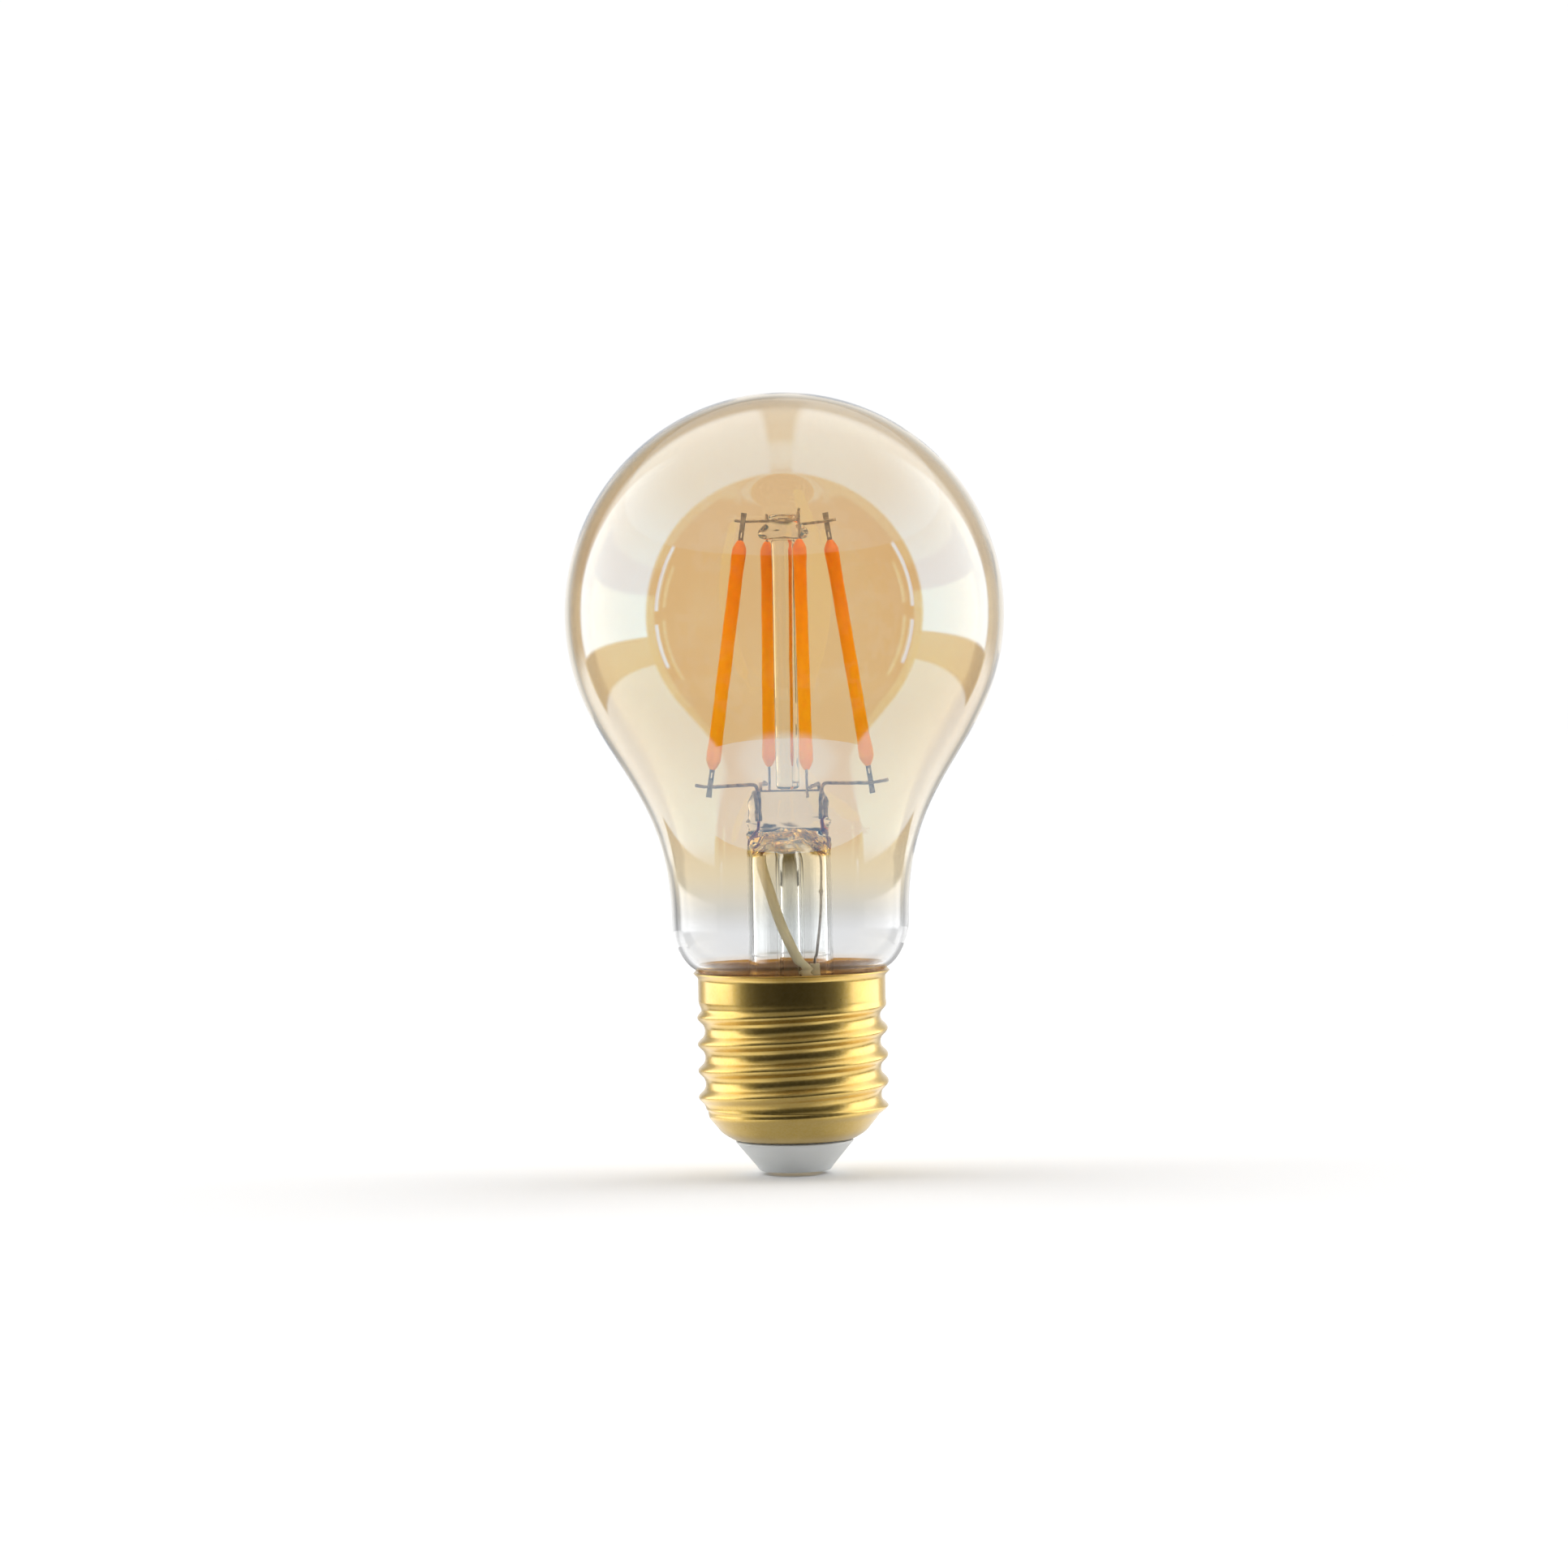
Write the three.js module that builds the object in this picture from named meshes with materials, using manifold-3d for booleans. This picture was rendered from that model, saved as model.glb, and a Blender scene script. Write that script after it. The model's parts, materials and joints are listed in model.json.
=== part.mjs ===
// LED filament lamp with a smart driver: an amber A60 glass bulb on an E27 screw cap.
// Millimetres, +Z up. The origin is the bottom centre of the centre contact, on the lamp's axis.
// Every sub-part is a closed body. Pieces that are fused, soldered or cemented on the real lamp
// are separate here, with a small gap.

import * as THREE from 'three';
import { mergeVertices } from 'three/addons/utils/BufferGeometryUtils.js';
import Module from 'manifold-3d';

const wasm = await Module();
wasm.setup();

// ---------- driving dimensions ----------
const GAP = 0.3; // clearance between neighbouring bodies
const SIDES = 8; // sides of a round wire
const TURN = 32; // segments round the bulb

const BULB = {
  radius: 30, equatorZ: 76.3, crownZ: 106.4, // the globe: 60 across, on a lamp 106.4 long
  wall: 0.7,
  leaveAngle: 25.3, // degrees below the equator where the globe turns into the neck curve
  waistR: 16.23, waistZ: 34.6, // narrowest part of the neck, above the shoulder
  waistPull: 15, globePull: 10.1, // handle lengths of the curve from the waist to the globe
  shoulder: [[13.75, 28], [14.7, 29.4], [16.2, 31.5], [16.2, 34]], // curve control points, from the lip
  neck: [[11.1, 20.6], [11.3, 22.5], [11.8, 25.6], [12.4, 27.4]], // from the seal, inside the cap
};

const CAP = {
  sheet: 0.3,
  cone: [[8.15, 4.4], [8.7, 4.65], [9.85, 5.4], [10.8, 6.5], [11.7, 7.6], [12.3, 8.5]],
  collarR: 12.83, collarTopZ: 26.6, lipR: 13.5, lipZ: 27.3,
  crestR: 13.02, rootR: 12.03, pitch: 3.629, // E27 thread: 26.05 over the crests, 7 turns to the inch
  firstCrestZ: 21.2, // a crest's height on the -X side
  crestSharpness: 0.18, // makes crests narrower than roots
  threadTopZ: 23.6, threadBottomZ: 7.0, runIn: 1.8, runOut: 2.2,
  collarStartZ: 21, // the thread's mean radius grows to the collar's above this height
};

const STEM = {
  flareR: 5.8, flareTopZ: 44.0, flareWall: 0.9, flareRimR: 9.85, flareRimZ: 20.6,
  tubeR: 1.9, tubeWall: 0.85, tubeTipZ: 17.9,
  // one corner of the press outline: its rounded side, the swell over the lead, the flat, the middle
  pressCorner: [[5.6, 0.9], [5.1, 1.6], [4, 1.85], [2.4, 1.3], [1.4, 2.3]],
  pressBottomZ: 44.3, pressTopZ: 52.5, pressBevel: 0.4, channelWidth: 1.6, channelDepth: 1.7,
  holeZ: 47.1, holeR: 0.75,
  rodR: 1.6, rodTopZ: 86.1,
  buttonBottomZ: 86.4, buttonTopZ: 89.8, buttonR: 3.4, buttonNeckR: 2.1,
};

const WIRE = { arm: 0.25, top: 0.2, outer: 0.19, dumet: 0.22 }; // radii
const LEAD = { left: -3.95, right: 4.45, armZ: 53.3, weldZ: 48.3 };
const SLEEVE = { outer: 0.85, inner: 0.5 };
const KNOT_SWELL = 1.9; // radius of the weld bead on an outer lead, over the lead's own

// Each filament stands on a cone round the rod. Azimuths run counterclockwise from +X, seen from above.
const FILAMENT = { bodyBottomZ: 55.5, length: 31, radius: 0.92, bulge: 1.08, bore: 0.62 };
const SUBSTRATE = { width: 0.8, thickness: 0.3 };
const TAB = {
  width: 0.7, thickness: 0.2, reach: 3.9, inside: 0.8,
  slotLength: 0.75, slotWidth: 0.2, slotAt: -0.85,
};
const ARRAY = {
  right: { bottomAzimuth: 13.5, topAzimuth: 20, bottomR: 11.4, topR: 6.8 },
  back: { bottomAzimuth: 103.5, topAzimuth: 110, bottomR: 10.9, topR: 6.4 },
  left: { bottomAzimuth: 193.5, topAzimuth: 200, bottomR: 10.5, topR: 6.1 },
  front: { bottomAzimuth: 283.5, topAzimuth: 290, bottomR: 10.9, topR: 6.4 },
};
const WELD = { bottomDrop: 2.5, topRise: 2.7, clearance: 0.1 }; // where the wires cross the tabs

const BOARD = { radius: 10.6, bottomZ: 12.4, thickness: 1.0 };
const LINER = { outer: 11.4, wall: 0.3, bottomZ: 8.4, topZ: 19.6 };

// ---------- materials ----------
const FINISH = {
  amberGlass: { color: 0xdfc08a, roughness: 0.03, metalness: 0 },
  clearGlass: { color: 0xe8efee, roughness: 0.03, metalness: 0 },
  phosphor: { color: 0xf0870a, roughness: 0.55, metalness: 0 },
  substrate: { color: 0xd9d4c6, roughness: 0.6, metalness: 0 },
  steel: { color: 0x77787c, roughness: 0.35, metalness: 1 },
  copper: { color: 0xa56e50, roughness: 0.4, metalness: 1 },
  brass: { color: 0xb08a35, roughness: 0.35, metalness: 1 },
  insulator: { color: 0xc4c9cd, roughness: 0.5, metalness: 0 },
  cement: { color: 0xa58c87, roughness: 0.9, metalness: 0 },
  sleeve: { color: 0xe6e0cd, roughness: 0.6, metalness: 0 },
  board: { color: 0x1f5a3a, roughness: 0.5, metalness: 0 },
  black: { color: 0x1b1b1d, roughness: 0.6, metalness: 0 },
  ceramic: { color: 0x9fb4c4, roughness: 0.5, metalness: 0 },
  liner: { color: 0xeeeae0, roughness: 0.6, metalness: 0 },
};

const lamp = new THREE.Group();

function add(name, geometry, finish, parent = lamp) {
  geometry.computeVertexNormals();
  const mesh = new THREE.Mesh(geometry, new THREE.MeshStandardMaterial(FINISH[finish]));
  mesh.name = name;
  parent.add(mesh);
  return mesh;
}

// ---------- geometry helpers ----------
function welded(geometry) {
  geometry.deleteAttribute('normal');
  geometry.deleteAttribute('uv');
  return mergeVertices(geometry, 1e-4);
}

// A solid of revolution about +Z from [radius, height] pairs.
function lathe(profile, segments = 24) {
  const points = profile.map(([r, z]) => new THREE.Vector2(r, z));
  return welded(new THREE.LatheGeometry(points, segments).rotateX(Math.PI / 2));
}

// A ring-shaped profile closes on its first point.
const ring = (profile, segments) => lathe([...profile, profile[0]], segments);

function box(width, depth, height, x, y, z) {
  return welded(new THREE.BoxGeometry(width, depth, height).translate(x, y, z));
}

function disc(radius) {
  const shape = new THREE.Shape();
  shape.absarc(0, 0, radius, 0, 2 * Math.PI);
  return shape;
}

function sweep(shape, path, steps) {
  return welded(new THREE.ExtrudeGeometry(shape, { extrudePath: path, steps, curveSegments: SIDES / 2 }));
}

const wire = (path, radius, steps) => sweep(disc(radius), path, steps);

function tube(path, outer, inner, steps) {
  const shape = disc(outer);
  shape.holes.push(disc(inner));
  return sweep(shape, path, steps);
}

const smooth = (points) => new THREE.CatmullRomCurve3(points.map((p) => new THREE.Vector3(...p)));

// Straight stretches joined by rounded corners.
function bent(points, cornerReach) {
  const at = points.map((p) => (p.isVector3 ? p : new THREE.Vector3(...p)));
  const path = new THREE.CurvePath();
  let from = at[0];
  for (let i = 1; i < at.length - 1; i += 1) {
    const before = at[i].clone().add(at[i - 1].clone().sub(at[i]).setLength(cornerReach));
    const after = at[i].clone().add(at[i + 1].clone().sub(at[i]).setLength(cornerReach));
    path.add(new THREE.LineCurve3(from, before));
    path.add(new THREE.QuadraticBezierCurve3(before, at[i], after));
    from = after;
  }
  path.add(new THREE.LineCurve3(from, at[at.length - 1]));
  return path;
}

function solid(geometry) {
  const vertProperties = new Float32Array(geometry.attributes.position.array);
  const triVerts = new Uint32Array(geometry.index.array);
  return new wasm.Manifold(new wasm.Mesh({ numProp: 3, vertProperties, triVerts }));
}

function geometryOf(manifold) {
  const { vertProperties, triVerts } = manifold.getMesh();
  const geometry = new THREE.BufferGeometry();
  geometry.setAttribute('position', new THREE.BufferAttribute(vertProperties, 3));
  geometry.setIndex(new THREE.BufferAttribute(triVerts, 1));
  return geometry;
}

function cut(geometry, ...tools) {
  return geometryOf(tools.reduce((body, tool) => body.subtract(solid(tool)), solid(geometry)));
}

function join(geometry, ...others) {
  return geometryOf(others.reduce((body, other) => body.add(solid(other)), solid(geometry)));
}

const smoothstep = THREE.MathUtils.smoothstep;
const radians = THREE.MathUtils.degToRad;

// Moves an outline inward along its own normals; the outline runs with the material on its left.
function inset(outline, distance) {
  return outline.map(([r, z], i) => {
    const [r0, z0] = outline[Math.max(i - 1, 0)];
    const [r1, z1] = outline[Math.min(i + 1, outline.length - 1)];
    const length = Math.hypot(r1 - r0, z1 - z0);
    return [r - (distance * (z1 - z0)) / length, z + (distance * (r1 - r0)) / length];
  });
}

function bezier(points, steps) {
  const curve = new THREE.CubicBezierCurve(...points.map(([r, z]) => new THREE.Vector2(r, z)));
  return curve.getPoints(steps).map((p) => [p.x, p.y]);
}

// ---------- glass bulb ----------
// The outer outline runs from the seal up to the crown.
function bulbOutline() {
  const b = BULB;
  const leave = radians(b.leaveAngle);
  const leaveR = b.radius * Math.cos(leave);
  const leaveZ = b.equatorZ - b.radius * Math.sin(leave);
  const shoulder = bezier(b.shoulder, 3);
  const waist = bezier([
    [b.waistR, b.waistZ],
    [b.waistR, b.waistZ + b.waistPull],
    [leaveR - b.globePull * Math.sin(leave), leaveZ - b.globePull * Math.cos(leave)],
    [leaveR, leaveZ],
  ], 7);
  const lower = [2 / 3, 1 / 3, 0].map((part) => -leave * part);
  const upper = [1, 2, 3, 4, 5, 6, 7, 8].map((step) => (Math.PI / 2) * (step / 8));
  const globe = [...lower, ...upper].map((angle) => {
    const height = angle > 0 ? b.crownZ - b.equatorZ : b.radius;
    return [b.radius * Math.cos(angle), b.equatorZ + height * Math.sin(angle)];
  });
  globe[globe.length - 1][0] = 0;
  return [...b.neck, ...shoulder, ...waist, ...globe];
}

function glassBulb() {
  const outer = bulbOutline();
  const inner = inset(outer, BULB.wall);
  inner[inner.length - 1] = [0, BULB.crownZ - BULB.wall];
  return lathe([[0, BULB.crownZ - BULB.wall], ...inner.reverse().slice(1), ...outer], TURN);
}

add('glass_bulb', glassBulb(), 'amberGlass');

// ---------- stem ----------
function flareTube() {
  const s = STEM;
  const outer = [
    [s.flareRimR, s.flareRimZ], [8.3, 22], [7, 24], [6.2, 26.4], [s.flareR, 29], [s.flareR, s.flareTopZ],
  ];
  const inner = inset(outer, s.flareWall);
  inner[0] = [s.flareRimR - s.flareWall, s.flareRimZ];
  return ring([...outer, ...inner.reverse()], 24);
}

function exhaustTube() {
  const s = STEM;
  const bore = s.tubeR - s.tubeWall;
  return lathe([
    [0, s.tubeTipZ], [0.8, s.tubeTipZ + 0.3], [s.tubeR, s.tubeTipZ + 2.2], [s.tubeR, s.flareTopZ],
    [bore, s.flareTopZ], [bore, s.tubeTipZ + 3], [0, s.tubeTipZ + 2],
  ], 12);
}

// The press is a flat block of glass with rounded sides, thicker where it covers each lead.
function pressOutline() {
  const shape = new THREE.Shape();
  const corner = STEM.pressCorner;
  const side = [...corner, ...corner.map(([x, y]) => [-x, y]).reverse()];
  const all = [...side, ...side.map(([x, y]) => [-x, -y])];
  all.forEach(([x, y], i) => (i ? shape.lineTo(x, y) : shape.moveTo(x, y)));
  shape.closePath();
  return shape;
}

function stemPress() {
  const s = STEM;
  const height = s.pressTopZ - s.pressBottomZ;
  const bevel = s.pressBevel;
  const block = welded(new THREE.ExtrudeGeometry(pressOutline(), {
    depth: height - 2 * bevel,
    bevelThickness: bevel,
    bevelSize: bevel,
    bevelOffset: -bevel,
    bevelSegments: 1,
  }).translate(0, 0, s.pressBottomZ + bevel));
  const beyond = 2; // how far the cutting shapes stick out of the glass
  const middle = (s.pressTopZ + s.pressBottomZ) / 2;
  const channels = [LEAD.left, LEAD.right]
    .map((x) => box(s.channelWidth, s.channelDepth, height + 2 * beyond, x, 0, middle));
  const hole = new THREE.CylinderGeometry(s.holeR, s.holeR, 4 * beyond, SIDES).translate(0, 0, s.holeZ);
  const boreLength = s.holeZ - s.pressBottomZ + beyond;
  const bore = new THREE.CylinderGeometry(s.holeR, s.holeR, boreLength, SIDES);
  bore.rotateX(Math.PI / 2).translate(0, 0, s.holeZ - boreLength / 2);
  return cut(block, ...channels, welded(hole), welded(bore));
}

function stemRod() {
  const s = STEM;
  const from = s.pressTopZ + GAP;
  return lathe([[0, from], [s.rodR, from], [s.rodR, s.rodTopZ - 0.2], [0, s.rodTopZ]], 16);
}

add('flare_tube', flareTube(), 'clearGlass');
add('exhaust_tube', exhaustTube(), 'clearGlass');
add('stem_press', stemPress(), 'clearGlass');
add('stem_rod', stemRod(), 'clearGlass');

// ---------- filaments ----------
const polar = (radius, azimuth, z) =>
  new THREE.Vector3(radius * Math.cos(radians(azimuth)), radius * Math.sin(radians(azimuth)), z);

// The frame of one filament: its foot, and its radial, tangential and long directions.
function stance({ bottomAzimuth, topAzimuth, bottomR, topR }) {
  const foot = polar(bottomR, bottomAzimuth, FILAMENT.bodyBottomZ);
  const head = polar(topR, topAzimuth, FILAMENT.bodyBottomZ + FILAMENT.length);
  const along = head.clone().sub(foot).normalize();
  const tangent = along.clone().cross(polar(1, (bottomAzimuth + topAzimuth) / 2, 0)).normalize();
  const radial = tangent.clone().cross(along);
  return { foot, along, tangent, radial };
}

function phosphorBody() {
  const { length, radius, bulge, bore } = FILAMENT;
  const end = [[bore, 0], [0.78, 0.15], [bulge, 1.3], [bulge, 2.1], [radius, 3]];
  const top = end.map(([r, z]) => [r, length - z]).reverse();
  return ring([...end, ...top], 12);
}

function tab() {
  const half = TAB.width / 2;
  const shape = new THREE.Shape();
  shape.moveTo(-half, -TAB.reach);
  shape.lineTo(half, -TAB.reach);
  shape.lineTo(half, TAB.inside);
  shape.lineTo(-half, TAB.inside);
  shape.closePath();
  const slot = new THREE.Path();
  const slotHalf = TAB.slotWidth / 2;
  const [low, high] = [TAB.slotAt - TAB.slotLength / 2, TAB.slotAt + TAB.slotLength / 2];
  slot.absarc(0, high, slotHalf, 0, Math.PI);
  slot.absarc(0, low, slotHalf, Math.PI, 2 * Math.PI);
  slot.closePath();
  shape.holes.push(slot);
  const geometry = new THREE.ExtrudeGeometry(shape, {
    depth: TAB.thickness, bevelEnabled: false, curveSegments: 4,
  });
  return welded(geometry.translate(0, 0, -TAB.thickness / 2).rotateX(Math.PI / 2));
}

const stances = {};
for (const [side, place] of Object.entries(ARRAY)) {
  const { foot, along, tangent, radial } = stance(place);
  stances[side] = { foot, along, tangent, radial };
  const holder = new THREE.Group();
  holder.position.copy(foot);
  holder.quaternion.setFromRotationMatrix(new THREE.Matrix4().makeBasis(radial, tangent, along));
  lamp.add(holder);
  const { length } = FILAMENT;
  const stripLength = length - 2 * (TAB.inside + GAP);
  add(`filament_${side}_phosphor`, phosphorBody(), 'phosphor', holder);
  const strip = box(SUBSTRATE.width, SUBSTRATE.thickness, stripLength, 0, 0, length / 2);
  add(`filament_${side}_substrate`, strip, 'substrate', holder);
  add(`filament_${side}_bottom_tab`, tab(), 'steel', holder);
  const topTab = add(`filament_${side}_top_tab`, tab(), 'steel', holder);
  topTab.rotation.y = Math.PI;
  topTab.position.z = length;
}

// Where a wire crosses a tab: on one side of it (side = +1 or -1), and `beyond` further out.
function weldPoint(name, top, side, radius, beyond = 0) {
  const { foot, along, tangent, radial } = stances[name];
  const lift = top ? FILAMENT.length + WELD.topRise : -WELD.bottomDrop;
  const offset = side * (TAB.thickness / 2 + radius + WELD.clearance);
  return foot.clone().addScaledVector(along, lift).addScaledVector(tangent, offset)
    .addScaledVector(radial, beyond);
}

// ---------- support wires and leads ----------
// Each lead carries two support wires, one beside the other.
const ARMS = {
  left: { x: LEAD.left - 0.2, y: -0.35, side: -1, beyond: 2.0 },
  back: { x: LEAD.left + 0.2, y: 0.35, side: 1, beyond: 1.2 },
  right: { x: LEAD.right + 0.2, y: 0.35, side: -1, beyond: 2.4 },
  front: { x: LEAD.right - 0.2, y: -0.35, side: 1, beyond: 1.2 },
};
for (const [name, { x, y, side, beyond }] of Object.entries(ARMS)) {
  const path = bent([
    [x, y, LEAD.weldZ],
    [x, y, LEAD.armZ],
    weldPoint(name, false, side, WIRE.arm),
    weldPoint(name, false, side, WIRE.arm, beyond),
  ], 0.8);
  add(`inner_lead_${name}`, wire(path, WIRE.arm, 20), 'steel');
}

const DUMET = {
  left: [[LEAD.left, 0, 48], [LEAD.left - 0.1, 0, 46.8], [LEAD.left - 0.25, 0, 45.4], [-4.05, 0, 44]],
  right: [[LEAD.right, 0, 48], [LEAD.right, 0, 46.8], [LEAD.right + 0.15, 0, 45.4], [4.35, 0, 43.6]],
};
const OUTER_LEAD = {
  left: [
    [-4.05, -0.1, 43.7], [-3.55, -1.25, 41.5], [-2.75, -2.3, 38.8], [-1.15, -3.1, 33.7],
    [0.8, -3.2, 29.2], [2, -3.3, 27.1], [3.4, -4.6, 21], [3.8, -5, 17], [3.8, -5, 13.8],
  ],
  right: [
    [4.35, 0, 43.3], [4.4, 0, 41.5], [4.3, 0, 38.2], [4.1, -0.2, 34.7], [3.55, -0.4, 30],
    [3.2, -0.5, 28.2], [3.6, -0.7, 24], [5.2, -0.8, 20], [5.6, -0.8, 17], [5.6, -0.8, 13.8],
  ],
};
const KNOT_Z = { left: 38.85, right: 38.2 }; // weld between the lead's nickel and its copper
const SLEEVE_SPAN = { left: [0.075, 0.94], right: [0.5, 0.92] }; // parts of each lead's length

for (const side of ['left', 'right']) {
  add(`dumet_${side}`, wire(smooth(DUMET[side]), WIRE.dumet, 8), 'copper');
  const path = smooth(OUTER_LEAD[side]);
  const samples = path.getSpacedPoints(200);
  const knot = samples.reduce((best, p) =>
    (Math.abs(p.z - KNOT_Z[side]) < Math.abs(best.z - KNOT_Z[side]) ? p : best));
  const bead = new THREE.SphereGeometry(WIRE.outer * KNOT_SWELL, SIDES, 5);
  const lead = join(wire(path, WIRE.outer, 24), welded(bead.translate(knot.x, knot.y, knot.z)));
  add(`outer_lead_${side}`, lead, 'steel');
  const [from, to] = SLEEVE_SPAN[side];
  const covered = samples.slice(Math.round(from * 200), Math.round(to * 200) + 1);
  const cover = new THREE.CatmullRomCurve3(covered.filter((_, i) => i % 10 === 0));
  add(`lead_sleeve_${side}`, tube(cover, SLEEVE.outer, SLEEVE.inner, 16), 'sleeve');
}

// ---------- button and top wires ----------
// Each top wire joins two neighbouring filaments and turns its corner inside the button.
const TOP_WIRES = {
  left_front: { from: 'left', to: 'front', insideZ: 88.9, corner: [-1.1, -1.1], curl: 1.3 },
  back_right: { from: 'back', to: 'right', insideZ: 88.3, corner: [1.1, 1.1], curl: 0.5 },
};

function topWirePath({ from, to, insideZ, corner, curl }) {
  const start = weldPoint(from, true, -1, WIRE.top, 1.1);
  const finish = weldPoint(to, true, -1, WIRE.top, 1.2);
  (from === 'left' ? finish : start).z += curl;
  const middle = new THREE.Vector3(corner[0], corner[1], insideZ);
  const points = [
    start, weldPoint(from, true, -1, WIRE.top), middle, weldPoint(to, true, -1, WIRE.top), finish,
  ];
  return bent(points, 0.7);
}

function stemButton() {
  const s = STEM;
  const profile = [
    [0, s.buttonBottomZ], [2.3, s.buttonBottomZ + 0.05], [3, s.buttonBottomZ + 0.15],
    [s.buttonR, s.buttonBottomZ + 0.8], [3.1, s.buttonBottomZ + 1.6],
    [2.4, s.buttonBottomZ + 2.4], [s.buttonNeckR, s.buttonTopZ - 0.2], [1.8, s.buttonTopZ],
    [0, s.buttonTopZ],
  ];
  const channels = Object.values(TOP_WIRES)
    .map((route) => wire(topWirePath(route), WIRE.top + GAP / 2, 20));
  return cut(lathe(profile, 20), ...channels);
}

for (const [name, route] of Object.entries(TOP_WIRES)) {
  add(`top_wire_${name}`, wire(topWirePath(route), WIRE.top, 20), 'steel');
}
add('stem_button', stemButton(), 'clearGlass');

// ---------- screw cap ----------
const threadDepth = (CAP.crestR - CAP.rootR) / 2;
const threadR = (CAP.crestR + CAP.rootR) / 2;

// Right-hand thread: the crest climbs one pitch for each counterclockwise turn.
function threadOffset(azimuth, z) {
  const c = CAP;
  const turn = (2 * Math.PI * (z - c.firstCrestZ)) / c.pitch - (azimuth - Math.PI);
  const wave = Math.cos(turn) + c.crestSharpness * (Math.cos(2 * turn) - 1);
  const fadeIn = smoothstep(z, c.threadBottomZ, c.threadBottomZ + c.runIn);
  const fadeOut = 1 - smoothstep(z, c.threadTopZ - c.runOut, c.threadTopZ);
  return fadeIn * fadeOut * threadDepth * wave;
}

function capShell() {
  const c = CAP;
  const outline = [...c.cone];
  const [startR, startZ] = c.cone[c.cone.length - 1];
  const rows = Math.round((c.threadTopZ - startZ) / (c.pitch / 6));
  for (let i = 1; i <= rows; i += 1) {
    const z = startZ + ((c.threadTopZ - startZ) * i) / rows;
    const grown = THREE.MathUtils.lerp(threadR, c.collarR, smoothstep(z, c.collarStartZ, c.threadTopZ));
    outline.push([Math.min(grown, startR + (z - startZ)), z]);
  }
  outline.push([c.collarR, c.collarTopZ], [c.collarR + 0.2, c.collarTopZ + 0.3], [c.lipR, c.lipZ]);
  const inner = inset(outline, c.sheet);
  const shell = ring([...outline, ...inner.reverse()], 24);
  const position = shell.attributes.position;
  for (let i = 0; i < position.count; i += 1) {
    const [x, y, z] = [position.getX(i), position.getY(i), position.getZ(i)];
    const radius = Math.hypot(x, y);
    const scale = (radius + threadOffset(Math.atan2(y, x), z)) / radius;
    position.setXY(i, x * scale, y * scale);
  }
  return shell;
}

function capCement() {
  const outside = CAP.collarR - CAP.sheet - 0.12;
  return ring([
    [11.55, 21.6], [12.15, 24.2], [outside, 24.6], [outside, CAP.collarTopZ],
    [12.3, CAP.collarTopZ], [12.05, 25.6],
  ], 32);
}

function capInsulator() {
  return ring([
    [1.3, 0.65], [4.1, 0.65], [4.1, 0.25], [4.8, 0.25], [7.95, 4.1], [7.5, 4.2], [7.5, 4.95],
    [8.6, 5.55], [9.3, 6.2], [9.3, 7], [3, 7], [2.6, 5.4], [1.3, 5.4],
  ], 32);
}

function centreContact() {
  return lathe([[0, 0], [3.4, 0], [3.75, 0.3], [3.4, 0.36], [1, 0.36], [0.9, 4.6], [0, 4.6]], 24);
}

add('cap_shell', capShell(), 'brass');
add('cap_cement', capCement(), 'cement');
add('cap_insulator', capInsulator(), 'insulator');
add('centre_contact', centreContact(), 'brass');

// ---------- driver and radio, inside the cap ----------
const boardTop = BOARD.bottomZ + BOARD.thickness;
const onTop = boardTop + GAP;
const below = BOARD.bottomZ - GAP;

function driverLiner() {
  const inner = LINER.outer - LINER.wall;
  return ring([
    [LINER.outer, LINER.bottomZ], [LINER.outer, LINER.topZ], [inner, LINER.topZ], [inner, LINER.bottomZ],
  ], 32);
}

function lyingCan(radius, length, x, y, z) {
  const can = lathe([
    [0, 0], [radius * 0.85, 0], [radius, 0.3], [radius, length * 0.72], [radius * 0.9, length * 0.76],
    [radius, length * 0.8], [radius, length - 0.4], [radius * 0.9, length], [0, length],
  ], 14);
  return can.rotateY(Math.PI / 2).translate(x, y, z);
}

function inductorDrum() {
  const base = onTop;
  return lathe([
    [0, base], [2.6, base], [2.6, base + 0.7], [2, base + 0.9], [2, base + 3.3], [2.6, base + 3.5],
    [2.6, base + 4.2], [0, base + 4.2],
  ], 14).translate(-6.2, 1.6, 0);
}

function fuseResistor() {
  const [x, y, z] = [4.2, -3.6, 10.4];
  const body = lathe([
    [0, -3], [0.9, -3], [1.15, -2.6], [1.15, -1.9], [0.95, -1.6], [0.95, 1.6], [1.15, 1.9],
    [1.15, 2.6], [0.9, 3], [0, 3],
  ], 12).rotateY(Math.PI / 2).translate(x, y, z);
  const lead = wire(bent([[x, y, z], [x + 4.1, y, z], [x + 4.1, y, below]], 0.6), 0.28, 14);
  const stub = wire(smooth([[x, y, z], [x - 3.9, y, z]]), 0.28, 2);
  return join(body, lead, stub);
}

add('driver_liner', driverLiner(), 'liner');
add('driver_board', lathe([
  [0, BOARD.bottomZ], [BOARD.radius, BOARD.bottomZ], [BOARD.radius, boardTop], [0, boardTop],
], 32), 'board');
add('bulk_capacitor', lyingCan(2.5, 9, -8, -5.4, onTop + 2.5), 'black');
add('inductor', inductorDrum(), 'black');
add('bridge_rectifier', box(4.7, 3.9, 1.5, -4.6, -3.2, below - 0.75), 'black');
add('driver_chip', box(4.9, 3.9, 1.5, -1.5, 4.6, below - 0.75), 'black');
add('fuse_resistor', fuseResistor(), 'ceramic');
add('radio_board', box(12, 0.8, 5, 0.5, 7, onTop + 2.5), 'board');
add('radio_shield', box(6.4, 1.4, 3.8, -1.8, 7 - 0.4 - GAP - 0.7, onTop + 2.5), 'steel');
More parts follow.
